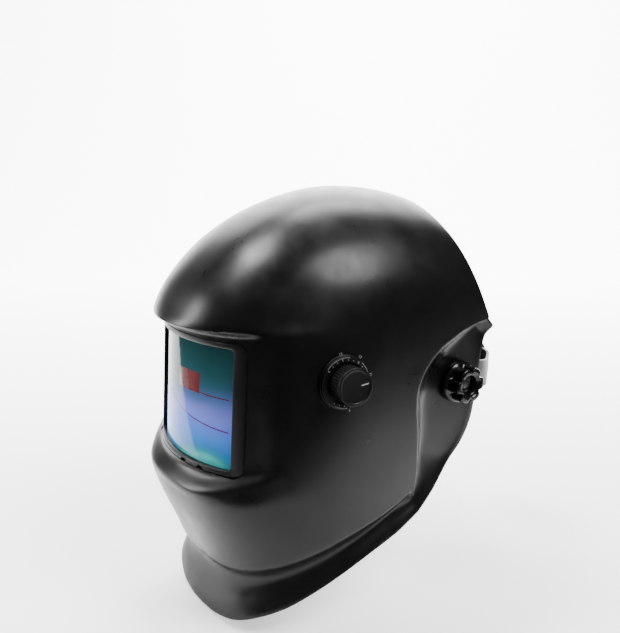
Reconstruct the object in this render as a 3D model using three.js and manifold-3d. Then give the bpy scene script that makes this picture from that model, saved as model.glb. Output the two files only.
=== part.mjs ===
// Flip-up welding helmet with an adjustable head harness.
// Millimetres, +Z up, front is -Y, wearer's left is +X.
// The origin is the middle of the axis through the two side pivots, on which the shell flips up.
import * as THREE from "three";
import { mergeVertices } from "three/addons/utils/BufferGeometryUtils.js";
import Module from "manifold-3d";

const wasm = await Module();
wasm.setup();

// ---------------------------------------------------------------- driving dimensions
const gap = 0.35; // clearance between pieces that touch
const runningGap = 0.5; // clearance round pieces that turn or slide

const shellWall = 2.6;
const cheekHalfWidth = 101; // half width of the shell at the cheeks
const earHalfWidth = 96.5; // half width at the rear ear corners
const pivotFaceX = 91; // outer face of the flat ear flange round a pivot
const shellFrontY = -195; // front of the window panel on the centre line
const panelRadius = 118; // the window panel is a cylinder about an upright axis
const panelLean = 0.06; // the panel's foot stands further forward than its head
const chinLipY = -181; // chin lip on the centre line
const chinLipZ = -176;
const crownZ = 148; // highest point of the shell
const sectionAxisY = 55; // every section of the shell is cut by a plane through this line along X
const sectionAxisZ = 0;

const windowHalfWidth = 65; // outside of the window frame
const windowTopZ = 49;
const windowBottomZ = -48;
const windowCorner = 7;
const frameBarSide = 10; // bars of the window frame, seen from the front
const frameBarTop = 4.5;
const frameBarBottom = 4;
const frameDepth = 7;
const frameFlange = 4; // how far the frame's rear flange reaches behind the shell
const lensThickness = 1.4;
const lensRecess = 3.2; // front cover lens behind the frame's front

const cartridgeWidth = 110;
const cartridgeHeight = 90;
const cartridgeDepth = 9;
const cartridgeFrontY = -158;
const viewWidth = 98; // filter glass
const viewHeight = 48;
const glassThickness = 3.2;
const innerLensThickness = 1.2;

const hoodReach = 13; // overhang of the brow hood over the window
const hoodZ = 58;
const hoodHalfWidth = 75;
const hoodHeight = 62; // how far up the hood takes to die away
const ledgeReach = 11; // the ledge under the window
const ledgeZ = -66;
const ledgeTipRise = 23;
const ledgeHalfWidth = 86;
const ledgeHeight = 70;

const dialPlace = { y: -116.5, z: 22 }; // shade dial on the left cheek
const dialRingRadius = 18.6;
const dialRingHeight = 1.6;
const shadeKnobRadius = 13.2;
const shadeKnobHeight = 15;
const shadeShaftRadius = 3;

const pivotKnobRadius = 17;
const pivotKnobHeight = 17;
const pivotLobes = 6;
const boltRadius = 3.6;
const clampNutRadius = 6;
const boltNeckSide = 7.6; // square neck under the bolt's head, which slides in the arm's slot
const boltHeadRadius = 8.5;
const boltHeadThickness = 2;
const washerRadius = 14;
const washerThickness = 1.2;

const headHalfWidth = 76; // inside of the head ring
const headFront = -98;
const headRear = 92;
const bandThickness = 2.2;
const bandHeight = 27;
const armThickness = 2.6;
const slotTravel = 10; // either way, fore and aft
const crownStrapWidth = 24;
const crownStrapTop = 104;
const ratchetRadius = 21;
const pinionRadius = 7;
const pinionTeeth = 14;
const ratchetShaftRadius = 3;

const filterColour = 0x0d2a33;
const shellColour = 0x2b2b2c;

// ---------------------------------------------------------------- solids and helpers
const root = new THREE.Group();

const plastic = (color, roughness = 0.5, metalness = 0) =>
  new THREE.MeshStandardMaterial({ color, roughness, metalness });
const metal = (color, roughness = 0.35) => plastic(color, roughness, 1);

function solid(geometry) {
  const g = geometry.clone();
  g.deleteAttribute("normal");
  g.deleteAttribute("uv");
  const m = mergeVertices(g, 1e-3);
  const vertProperties = new Float32Array(m.attributes.position.array);
  const triVerts = new Uint32Array(m.index.array);
  return new wasm.Manifold(new wasm.Mesh({ numProp: 3, vertProperties, triVerts }));
}

function geometryOf(manifold) {
  const mesh = manifold.getMesh();
  const g = new THREE.BufferGeometry();
  g.setAttribute("position", new THREE.BufferAttribute(new Float32Array(mesh.vertProperties), 3));
  g.setIndex(new THREE.BufferAttribute(new Uint32Array(mesh.triVerts), 1));
  return g;
}

function add(name, shape, material, parent = root) {
  const geometry = shape.isBufferGeometry ? shape : geometryOf(shape);
  const mesh = new THREE.Mesh(geometry, material);
  mesh.name = name;
  parent.add(mesh);
  return mesh;
}

const join = (...pieces) => pieces.reduce((a, b) => a.add(b));
const cut = (body, ...tools) => tools.reduce((a, b) => a.subtract(b), body);
const box = (w, d, h, x, y, z) => solid(new THREE.BoxGeometry(w, d, h).translate(x, y, z));
const range = (n) => Array.from({ length: n }, (_, i) => i);
const lerp = THREE.MathUtils.lerp;
const clamp01 = (v) => Math.min(1, Math.max(0, v));
const smooth = (v) => {
  const c = clamp01(v);
  return c * c * (3 - 2 * c);
};

// A smooth function of one value through a few [value, result] pairs, flat beyond both ends.
function curveThrough(pairs) {
  const n = pairs.length;
  const slope = pairs.map((_, i) => {
    const a = pairs[Math.max(0, i - 1)];
    const b = pairs[Math.min(n - 1, i + 1)];
    return (b[1] - a[1]) / (b[0] - a[0]);
  });
  return (v) => {
    if (v <= pairs[0][0]) return pairs[0][1];
    if (v >= pairs[n - 1][0]) return pairs[n - 1][1];
    let i = 0;
    while (v > pairs[i + 1][0]) i++;
    const [v0, p0] = pairs[i];
    const [v1, p1] = pairs[i + 1];
    const w = v1 - v0;
    const s = (v - v0) / w;
    const s2 = s * s;
    const s3 = s2 * s;
    return (
      (2 * s3 - 3 * s2 + 1) * p0 + (s3 - 2 * s2 + s) * w * slope[i] +
      (3 * s2 - 2 * s3) * p1 + (s3 - s2) * w * slope[i + 1]
    );
  };
}

// ---------------------------------------------------------------- the shell's surface
const degrees = (radians) => (radians * 180) / Math.PI;
const polar = (y, z) => ({
  angle: degrees(Math.atan2(z - sectionAxisZ, sectionAxisY - y)),
  reach: Math.hypot(z - sectionAxisZ, sectionAxisY - y),
});
const polarPairs = (points) =>
  points.map(([y, z]) => polar(y, z)).sort((a, b) => a.angle - b.angle).map((p) => [p.angle, p.reach]);

// Centre line of the shell from the chin crease to the rear of the crown, without hood and ledge.
const frontReach = curveThrough(polarPairs([
  [-181, -131], [-188, -100], [shellFrontY + 1, -66], [shellFrontY - 1, -30], [shellFrontY + 1, 10],
  [shellFrontY + 5, 45], [-184, 70], [-174, 92], [-158, 112], [-134, 128],
  [-104, crownZ - 8], [-66, crownZ], [-30, crownZ - 1], [2, crownZ - 8],
]));
// Where the flat side wall turns into the curve towards the front.
const sideReach = curveThrough(
  [[-40, 134], [-25, 122], [-8, 116], [10, 112], [25, 98], [40, 80], [52, 64], [60, 54], [70, 52]]
);
const halfWidthAt = curveThrough([
  [-40, cheekHalfWidth - 2], [-20, cheekHalfWidth + 1], [15, cheekHalfWidth + 1], [38, cheekHalfWidth - 1],
  [60, earHalfWidth], [70, earHalfWidth - 2],
]);
const fullness = curveThrough(
  [[-38, 2.4], [-26, 2.8], [-8, 3.1], [12, 2.9], [24, 2.5], [42, 2.2], [69, 2.1]]
);

// The ridge round the ear flange, as the body's side limit: distance from the section axis by angle.
const ridgeReach = curveThrough(polarPairs([
  [-48, -84], [-46, -60], [-47, -30], [-49, -8], [-47, 6], [-39, 19], [-25, 31], [-9, 38], [12, 45], [28, 47],
]));

const creaseAngle = curveThrough([[0, -29], [0.35, -29.6], [0.6, -31.5], [0.8, -35.5], [1, -39.2]]);
const rearAngle = curveThrough([[0, 69], [0.5, 66.5], [1, 60.1]]);
const flatPart = 0.86; // share of the half section that is curved; the rest is the flat side

// A point of the smooth body: t runs from -1 at the right ridge to 1 at the left one.
function bodyPoint(angle, t) {
  const a = Math.abs(t);
  const side = Math.sign(t);
  const rad = THREE.MathUtils.degToRad(angle);
  const width = halfWidthAt(angle);
  const ridge = ridgeReach(angle);
  const inner = Math.max(sideReach(angle), ridge + 0.5);
  const outer = frontReach(angle);
  const n = fullness(angle);
  let x;
  let reach;
  if (a < flatPart) {
    const psi = (a / flatPart) * (Math.PI / 2);
    const c = Math.cos(psi);
    const s = Math.sin(psi);
    const k = Math.pow(Math.pow(c, n) + Math.pow(s, n), -1 / n);
    x = width * k * s;
    reach = inner + (outer - inner) * k * c;
  } else {
    x = width;
    reach = lerp(inner, ridge, (a - flatPart) / (1 - flatPart));
  }
  return new THREE.Vector3(
    side * x, sectionAxisY - reach * Math.cos(rad), sectionAxisZ + reach * Math.sin(rad),
  );
}

const panelY = (x, z) => {
  const sag = panelRadius - Math.sqrt(
    panelRadius * panelRadius - Math.min(x * x, 0.8 * panelRadius * panelRadius)
  );
  return shellFrontY + sag + panelLean * z;
};
const hoodLip = (x) => hoodZ + 1.5 * Math.min(1, (x / hoodHalfWidth) ** 2);
const ledgeLip = (x) => ledgeZ + ledgeTipRise * Math.pow(Math.min(1, Math.abs(x) / ledgeHalfWidth), 2.2);
// The shelf on top of the ledge runs up to the window, and gets narrow towards its tips.
const shelfRise = (x) => lerp(windowBottomZ - 2 - ledgeZ, 7, Math.min(1, (x / ledgeHalfWidth) ** 2));
const crescent = (x, half, power) => Math.pow(Math.max(0, 1 - Math.pow(Math.abs(x) / half, 2)), power);

// The finished outer surface: the smooth body, flattened to the window panel, with the hood and the ledge.
function surfacePoint(angle, t) {
  const p = bodyPoint(angle, t);
  const hoodRamp = smooth((p.z - (hoodLip(p.x) - 6)) / 6);
  const hoodFade = 1 - smooth((p.z - hoodLip(p.x)) / hoodHeight);
  const hood = hoodReach * crescent(p.x, hoodHalfWidth, 0.7) * hoodRamp * hoodFade;
  const lip = ledgeLip(p.x);
  const ledgeRamp = 1 - smooth((p.z - lip) / shelfRise(p.x));
  const ledgeFade = 1 - smooth((lip - p.z) / ledgeHeight);
  const ledge = ledgeReach * crescent(p.x, ledgeHalfWidth, 0.5) * ledgeRamp * ledgeFade;
  const beforePanel = smooth((96 - Math.abs(p.x)) / 26);
  const abovePanelFoot = smooth((p.z - (windowBottomZ - 22)) / 16);
  const belowPanelHead = smooth((windowTopZ + 16 - p.z) / 10);
  const inPanel = beforePanel * abovePanelFoot * belowPanelHead;
  const y = lerp(p.y, panelY(p.x, p.z), inPanel);
  const push = hood + ledge;
  const toFront = new THREE.Vector2(p.x * 0.6, y - sectionAxisY * 0.2).normalize();
  return new THREE.Vector3(p.x + push * toFront.x, y + push * toFront.y, p.z);
}

// The angle at which the section curve for t crosses the height z(x).
function angleAtHeight(t, heightOf) {
  let angle = 0;
  for (const _ of range(6)) {
    const p = bodyPoint(angle, t);
    const reach = Math.hypot(p.y - sectionAxisY, p.z - sectionAxisZ);
    angle = degrees(Math.asin((heightOf(p.x) - sectionAxisZ) / reach));
  }
  return angle;
}

// Rows of the shell at t, from the crease up to the rear edge; each stretch is split evenly.
// Up to the tips of hood and ledge the rows follow their lips.
// From there they spread to fixed angles at the ridge.
const ridgeRows = [-22, -15, 22, 29];
function rowAngles(t, splits) {
  const a = Math.abs(t);
  const near = Math.min(a, 0.75);
  const spread = smooth((a - 0.6) / 0.4);
  const lips = [
    angleAtHeight(near, (x) => ledgeLip(x)),
    angleAtHeight(near, (x) => ledgeLip(x) + 0.9 * shelfRise(x)),
    angleAtHeight(near, (x) => hoodLip(x) - 7),
    angleAtHeight(near, (x) => hoodLip(x)),
  ];
  const stops = [
    creaseAngle(a), ...lips.map((angle, i) => lerp(angle, ridgeRows[i], spread)), rearAngle(a),
  ];
  const angles = [];
  stops.slice(1).forEach((stop, i) => {
    for (const k of range(splits[i])) angles.push(lerp(stops[i], stop, k / splits[i]));
  });
  angles.push(stops[stops.length - 1]);
  return angles;
}

// The flange: a band from the crease and the ridge out to the shell's free edge.
// Beside the ridge its free edge is given by the ridge's angle, and below the crease by t.
const axesOf = (rows) => [1, 2, 3].map((k) => curveThrough(rows.map((r) => [r[0], r[k]])));
const earEdge = axesOf([
  // ridge angle, x, y, z
  [-39.2, 99, -43, -96], [-35, 98, -26, -82], [-28, 96, -8, -66], [-18, 94.5, 8, -51], [-8, 93.5, 17, -36],
  [2, 93, 21, -21], [13, 93, 23, -7], [24, 93, 25, 8], [36, 94, 26.5, 22], [50, 95.5, 29, 34],
  [60.1, 96.8, 33, 41],
]);
const chinEdge = axesOf([
  // t, x, y, z
  [0, 0, chinLipY, chinLipZ],
  [0.12, 20, chinLipY + 0.5, chinLipZ + 1.5],
  [0.26, 42, chinLipY + 4, chinLipZ + 6],
  [0.4, 62, chinLipY + 13, chinLipZ + 15], [0.54, 77, -151, -151.5], [0.68, 89, -126, -136.5],
  [0.82, 97, -95, -119.5], [0.93, 99.5, -65, -107], [1, 99, -43, -96],
]);
const troughDepth = curveThrough([[0, 9.5], [0.3, 9], [0.55, 7.5], [0.8, 6], [1, 5]]);
const chinTrough = curveThrough([[0, 0], [0.1, 0.6], [0.26, 1], [0.5, 0.8], [0.8, 0.25], [1, 0]]);
const earTrough = curveThrough([[0, 0], [0.08, 0.5], [0.18, 0.95], [0.28, 1], [0.9, 1], [1, 0.75]]);
const flangeSteps = [0.06, 0.14, 0.28, 0.55, 0.85, 1];

// A point of the flange: v runs from the body (0) to the free edge (1).
function flangePoint({ angle, t }, v) {
  const side = Math.sign(t);
  const start = surfacePoint(angle, t);
  if (Math.abs(t) === 1) {
    const flat = smooth((angle + 39.2) / 14); // the trough of the lower edge opens into the ear flange
    const end = new THREE.Vector3(...earEdge.map((f) => f(angle)));
    end.x *= side;
    const p = start.lerp(end, v);
    const toFace = Math.max(0, Math.abs(p.x) - pivotFaceX) * earTrough(v) * smooth((60.1 - angle) / 12);
    p.x -= side * lerp(troughDepth(1) * chinTrough(v), toFace, flat);
    return p;
  }
  const a = Math.abs(t);
  const end = new THREE.Vector3(...chinEdge.map((f) => f(a)));
  end.x *= side || 1;
  const p = start.lerp(end, v);
  const inward = new THREE.Vector2(-p.x * (0.3 + a), 110 * (1 - a) ** 0.7).normalize();
  const depth = troughDepth(a) * chinTrough(v);
  p.x += inward.x * depth;
  p.y += inward.y * depth;
  return p;
}

// Turns an open sheet into a closed body by moving a copy of it in along its normals.
function thicken(points, faces, wall) {
  const normals = points.map(() => new THREE.Vector3());
  for (const [a, b, c] of faces) {
    const n = points[b].clone().sub(points[a]).cross(points[c].clone().sub(points[a]));
    for (const v of [a, b, c]) normals[v].add(n);
  }
  const count = points.length;
  const all = [
    ...points, ...points.map((p, i) => p.clone().addScaledVector(normals[i].normalize(), -wall)),
  ];
  const triangles = [...faces, ...faces.map(([a, b, c]) => [a + count, c + count, b + count])];
  const edges = new Map();
  for (const [a, b, c] of faces) {
    for (const [p, q] of [[a, b], [b, c], [c, a]]) {
      if (edges.has(q + "," + p)) edges.delete(q + "," + p);
      else edges.set(p + "," + q, [p, q]);
    }
  }
  for (const [p, q] of edges.values()) triangles.push([q, p, p + count], [q, p + count, q + count]);
  const g = new THREE.BufferGeometry();
  g.setAttribute(
    "position", new THREE.BufferAttribute(new Float32Array(all.flatMap((p) => p.toArray())), 3),
  );
  g.setIndex(triangles.flat());
  return g;
}

// The closed shell: the body's grid with the flange round it, given a wall.
function shellGeometry(columnStops, splits, steps) {
  const ts = [...columnStops.map((t) => -t).reverse(), 0, ...columnStops];
  const outer = [];
  const faces = [];
  const rowsOf = ts.map((t) => rowAngles(t, splits));
  const grid = ts.map((t, j) => rowsOf[j].map((angle) => outer.push(surfacePoint(angle, t)) - 1));
  const quad = (a, b, c, d) => faces.push([a, b, c], [a, c, d]);
  const rows = rowsOf[0].length;
  for (const j of range(ts.length - 1)) {
    for (const i of range(rows - 1)) quad(grid[j][i], grid[j + 1][i], grid[j + 1][i + 1], grid[j][i + 1]);
  }
  const last = ts.length - 1;
  const stations = [
    ...range(rows).map((i) => ({ j: last, i: rows - 1 - i })),
    ...range(last - 1).map((k) => ({ j: last - 1 - k, i: 0 })),
    ...range(rows).map((i) => ({ j: 0, i })),
  ];
  const band = stations.map(({ j, i }) => {
    const at = { angle: rowsOf[j][i], t: ts[j] };
    return [grid[j][i], ...steps.map((v) => outer.push(flangePoint(at, v)) - 1)];
  });
  for (const k of range(band.length - 1)) {
    const [here, next] = [band[k], band[k + 1]];
    for (const m of range(steps.length)) quad(here[m], next[m], next[m + 1], here[m + 1]);
  }
  return thicken(outer, faces, shellWall);
}

const columnStops = [0.08, 0.17, 0.26, 0.35, 0.44, 0.53, 0.62, 0.7, 0.78, 0.86, 0.93, 1];
const rowSplits = [4, 2, 4, 2, 7];

// ---------------------------------------------------------------- plain shapes the pieces share
// A rounded rectangle in the XZ plane, as a shape for an extrusion along Y.
function roundedRectangle(x0, x1, z0, z1, r) {
  const s = new THREE.Shape();
  s.moveTo(x0 + r, z0).lineTo(x1 - r, z0).absarc(x1 - r, z0 + r, r, -Math.PI / 2, 0);
  s.lineTo(x1, z1 - r).absarc(x1 - r, z1 - r, r, 0, Math.PI / 2);
  s.lineTo(x0 + r, z1).absarc(x0 + r, z1 - r, r, Math.PI / 2, Math.PI);
  s.lineTo(x0, z0 + r).absarc(x0 + r, z0 + r, r, Math.PI, 1.5 * Math.PI);
  return s;
}

// The prism of a shape drawn in XZ, from y0 to y1.
function prismAlongY(shape, y0, y1, curveSegments = 3) {
  const g = new THREE.ExtrudeGeometry(shape, { depth: y1 - y0, bevelEnabled: false, curveSegments });
  return solid(g.rotateX(Math.PI / 2).translate(0, y1, 0));
}

// A cylinder along an axis, from one place on it to another, centred on the two other coordinates.
function rod(axis, radius, from, to, a, b, sides = 24, radiusTo = radius) {
  const g = new THREE.CylinderGeometry(radiusTo, radius, to - from, sides);
  const middle = (from + to) / 2;
  if (axis === "x") g.rotateZ(-Math.PI / 2).translate(middle, a, b);
  if (axis === "y") g.translate(a, middle, b);
  if (axis === "z") g.rotateX(Math.PI / 2).translate(a, b, middle);
  return solid(g);
}

// A slab that follows the window panel, starting `behind` the panel's front and `deep` along Y.
function panelSlab(halfWidth, z0, z1, behind, deep, columns = 14) {
  const points = [];
  for (const i of range(columns + 1)) {
    const x = lerp(-halfWidth, halfWidth, i / columns);
    for (const [z, back] of [[z0, 0], [z1, 0], [z1, deep], [z0, deep]]) {
      points.push(new THREE.Vector3(x, panelY(x, z) + behind + back, z));
    }
  }
  return closeLoops(points, 4);
}

// Joins rings of points, one after another, into a closed body with flat ends and its faces outwards.
function closeLoops(points, perRing) {
  const rings = points.length / perRing;
  const faces = [];
  for (const i of range(rings - 1)) {
    for (const k of range(perRing)) {
      const a = i * perRing + k;
      const b = i * perRing + ((k + 1) % perRing);
      faces.push([a, b, b + perRing], [a, b + perRing, a + perRing]);
    }
  }
  const end = (rings - 1) * perRing;
  for (const k of range(perRing - 2)) faces.push([0, k + 2, k + 1], [end, end + k + 1, end + k + 2]);
  const corners = new THREE.BufferAttribute(new Float32Array(points.flatMap((p) => p.toArray())), 3);
  const bodyOf = (list) => solid(
    new THREE.BufferGeometry().setAttribute("position", corners.clone()).setIndex(list.flat())
  );
  const body = bodyOf(faces);
  return body.volume() > 0 ? body : bodyOf(faces.map((face) => [...face].reverse()));
}

// A flat strap along a path: its width lies along `across(u)` and its thickness grows along `out(u)`.
function strap(steps, centre, across, out, width, thickness) {
  const points = [];
  for (const i of range(steps + 1)) {
    const u = i / steps;
    const c = centre(u);
    const w = across(u).clone().multiplyScalar((typeof width === "function" ? width(u) : width) / 2);
    const o = out(u).clone().multiplyScalar(thickness);
    points.push(c.clone().sub(w), c.clone().add(w), c.clone().add(w).add(o), c.clone().sub(w).add(o));
  }
  return closeLoops(points, 4);
}

// ---------------------------------------------------------------- shell and window
const windowShape = (grow, r = windowCorner) =>
  roundedRectangle(
    -windowHalfWidth - grow, windowHalfWidth + grow, windowBottomZ - grow, windowTopZ + grow, r + grow,
  );
const lensHalfWidth = windowHalfWidth - frameBarSide;
const lensSeat = 3; // the lens reaches this far behind the frame's bars
const lensBottomZ = windowBottomZ + frameBarBottom;
const lensTopZ = windowTopZ - frameBarTop;

// The place on the left cheek at a height and depth, and the outward direction there.
function cheekPlace(y, z) {
  const reachAt = (t) => {
    let angle = 0;
    let p;
    for (const _ of range(8)) {
      p = surfacePoint(angle, t);
      angle = degrees(Math.atan2(z, sectionAxisY - p.y));
    }
    return { p, angle };
  };
  let low = 0.4;
  let high = 0.86;
  for (const _ of range(30)) {
    const middle = (low + high) / 2;
    if (reachAt(middle).p.y < y) low = middle;
    else high = middle;
  }
  const { p, angle } = reachAt(low);
  const alongT = surfacePoint(angle, low + 0.02).sub(surfacePoint(angle, low - 0.02));
  const alongAngle = surfacePoint(angle + 2, low).sub(surfacePoint(angle - 2, low));
  const normal = alongT.cross(alongAngle).normalize();
  if (normal.x < 0) normal.negate();
  return { p, normal };
}

const dial = cheekPlace(dialPlace.y, dialPlace.z);
const dialBossRadius = dialRingRadius + 0.8;
const dialBossTop = 1.6; // the boss gives the dial a flat seat on the curved cheek
const dialBossFoot = -4.4;
const bushRadius = 4;

function inDialFrame(shape) {
  const turn = new THREE.Quaternion().setFromUnitVectors(new THREE.Vector3(0, 0, 1), dial.normal);
  const m = new THREE.Matrix4().compose(dial.p, turn, new THREE.Vector3(1, 1, 1));
  return solid(geometryOf(shape).applyMatrix4(m));
}

function makeShell() {
  const body = solid(shellGeometry(columnStops, rowSplits, flangeSteps));
  const boss = inDialFrame(rod("z", dialBossRadius, dialBossFoot, dialBossTop, 0, 0, 40));
  const dialHole = inDialFrame(rod("z", bushRadius + gap, dialBossFoot - 8, dialBossTop + 5, 0, 0, 24));
  const opening = prismAlongY(windowShape(gap), -240, -140);
  const pivotCuts = [-1, 1].flatMap((side) => {
    const seatTop = pivotInnerX - gap / 2; // a flat seat for the bush, where the wall bulges inwards
    const seat = side > 0 ? [armOuterX, seatTop] : [-seatTop, -armOuterX];
    const hole = [side * pivotFaceX - pivotHoleReach, side * pivotFaceX + pivotHoleReach];
    return [rod("x", pivotHoleRadius, ...hole, 0, 0), rod("x", washerRadius + 1, ...seat, 0, 0)];
  });
  add("helmet_shell", cut(join(body, boss), dialHole, opening, ...pivotCuts), plastic(shellColour, 0.42));
}

function makeWindow() {
  const front = panelSlab(windowHalfWidth + 1, windowBottomZ - 2, windowTopZ + 2, 0, frameDepth);
  const rim = front.intersect(prismAlongY(windowShape(0), -240, -140));
  const flangeBehind = shellWall + 1.1 + gap; // the wall is longer along Y where the panel curves away
  const flangeSlab = panelSlab(
    windowHalfWidth + 6, windowBottomZ - 6, windowTopZ + 6, flangeBehind, frameDepth - flangeBehind,
  );
  const flange = flangeSlab.intersect(prismAlongY(windowShape(frameFlange), -240, -140));
  const sight = prismAlongY(
    roundedRectangle(-lensHalfWidth, lensHalfWidth, lensBottomZ, lensTopZ, 3), -240, -140,
  );
  const seat = panelSlab(
    lensHalfWidth + lensSeat + gap,
    lensBottomZ - lensSeat + 1 - gap,
    lensTopZ + lensSeat - 1 + gap,
    lensRecess,
    20,
  );
  add("window_frame", cut(join(rim, flange), sight, seat), plastic(0x2e2e30, 0.5));
  const lens = panelSlab(
    lensHalfWidth + lensSeat,
    lensBottomZ - lensSeat + 1,
    lensTopZ + lensSeat - 1,
    lensRecess + gap,
    lensThickness,
  );
  add("front_cover_lens", lens, plastic(0x6f9fb5, 0.08));
}

// ---------------------------------------------------------------- auto-darkening cartridge behind the window
const cartridgeRearY = cartridgeFrontY + cartridgeDepth;
const viewZ = -8; // middle of the filter glass
const holderWall = 7;

const plate = (w, h, y0, y1, z = 0, r = 2) => prismAlongY(
  roundedRectangle(-w / 2, w / 2, z - h / 2, z + h / 2, r), y0, y1, 3,
);

function makeCartridge() {
  const cellWidth = 62;
  const cellHeight = 11;
  const cellZ = 30;
  const sensorX = 43;
  const sensorRadius = 4;
  const pocket = plate(
    viewWidth + 2 * gap,
    viewHeight + 2 * gap,
    cartridgeFrontY - 1,
    cartridgeFrontY + glassThickness + 2 * gap,
    viewZ,
  );
  const through = plate(viewWidth - 6, viewHeight - 6, cartridgeFrontY - 1, cartridgeRearY + 1, viewZ);
  const rearSeat = plate(
    viewWidth + 4 + 2 * gap,
    viewHeight - 2 + 2 * gap,
    cartridgeRearY - innerLensThickness - gap,
    cartridgeRearY + 1,
    viewZ,
  );
  const cellPocket = plate(
    cellWidth + 2 * gap, cellHeight + 2 * gap, cartridgeFrontY - 1, cartridgeFrontY + 1.2, cellZ, 1,
  );
  const sensorHoles = [-1, 1].map(
    (s) => rod("y", sensorRadius + gap, cartridgeFrontY - 1, cartridgeFrontY + 3, s * sensorX, cellZ, 20)
  );
  const controlHoles = controls.map(
    (c) => rod("y", c.stem + runningGap, cartridgeRearY - c.seat, cartridgeRearY + 1, c.x, c.z, 16)
  );
  const batterySeat = rod(
    "y", batteryRadius + gap, cartridgeRearY - 2.4, cartridgeRearY + 1, batteryPlace.x, batteryPlace.z, 28,
  );
  const block = plate(cartridgeWidth, cartridgeHeight, cartridgeFrontY, cartridgeRearY, 0, 4);
  add(
    "cartridge_housing",
    cut(block, pocket, through, rearSeat, cellPocket, ...sensorHoles, ...controlHoles, batterySeat),
    plastic(0x1b1c1e, 0.55),
  );
  const glassFront = cartridgeFrontY + gap;
  add(
    "filter_glass",
    plate(viewWidth, viewHeight, glassFront, glassFront + glassThickness, viewZ),
    plastic(filterColour, 0.08),
  );
  add(
    "solar_cell",
    plate(cellWidth, cellHeight, cartridgeFrontY - 0.2, cartridgeFrontY + 0.8, cellZ, 0.6),
    plastic(0x1a1030, 0.25),
  );
  for (const [name, s] of [["arc_sensor_right", -1], ["arc_sensor_left", 1]]) {
    add(
      name,
      rod("y", sensorRadius, cartridgeFrontY - 0.6, cartridgeFrontY + 2.6, s * sensorX, cellZ, 20),
      plastic(0x3a0d14, 0.15),
    );
  }
  add(
    "inner_cover_lens",
    plate(viewWidth + 4, viewHeight - 2, cartridgeRearY - innerLensThickness, cartridgeRearY, viewZ),
    plastic(0xbfd4d8, 0.06),
  );
  add("battery_cover", batteryCover(), plastic(0x242527, 0.5));
  const holderWidth = cartridgeWidth + 2 * holderWall;
  const holderHeight = cartridgeHeight + 2 * holderWall;
  const holder = plate(holderWidth, holderHeight, shellFrontY, cartridgeRearY, 0, 6);
  const inside = plate(
    cartridgeWidth + 2 * gap,
    cartridgeHeight + 2 * gap,
    cartridgeFrontY - gap,
    cartridgeRearY + 8,
    0,
    4 + gap,
  );
  const light = plate(cartridgeWidth - 6, cartridgeHeight - 6, shellFrontY - 9, cartridgeFrontY + 1, 0, 3);
  const frameSpace = panelSlab(holderWidth, -holderHeight, holderHeight, -40, 40 + frameDepth + gap);
  add("cartridge_holder", cut(holder, inside, light, frameSpace), plastic(0x222324, 0.6));
}

const batteryRadius = 10.5;
const batteryPlace = { x: 36, z: 30 };
function batteryCover() {
  const disc = rod(
    "y", batteryRadius, cartridgeRearY - 2, cartridgeRearY + 0.8, batteryPlace.x, batteryPlace.z, 28,
  );
  return cut(disc, box(12, 1.6, 2, batteryPlace.x, cartridgeRearY + 0.8, batteryPlace.z));
}

// The two turning controls and the push button on the cartridge's rear face.
const buttonTravel = 1.2;
const controls = [
  { name: "sensitivity_knob", x: -34, z: -38.5, radius: 4.6, stem: 2.2, seat: 4, height: 4.5 },
  { name: "delay_knob", x: 34, z: -38.5, radius: 4.6, stem: 2.2, seat: 4, height: 4.5 },
  { name: "test_button", x: 0, z: -38.5, radius: 2.6, stem: 2.6, seat: 4.6, height: 2.2 },
];

function makeControls() {
  for (const c of controls) {
    const stem = rod(
      "y",
      c.stem,
      cartridgeRearY - c.seat + gap + (c.name === "test_button" ? buttonTravel : 0),
      cartridgeRearY + 1,
      c.x,
      c.z,
      16,
    );
    const base = cartridgeRearY + runningGap;
    const head = rod("y", c.radius, base, base + c.height, c.x, c.z, 20);
    const slit = box(c.radius * 1.7, 1, 1, c.x, base + c.height, c.z);
    add(
      c.name, c.radius > c.stem ? cut(join(stem, head), slit) : join(stem, head), plastic(0x3b3c3f, 0.45),
    );
  }
}

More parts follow.
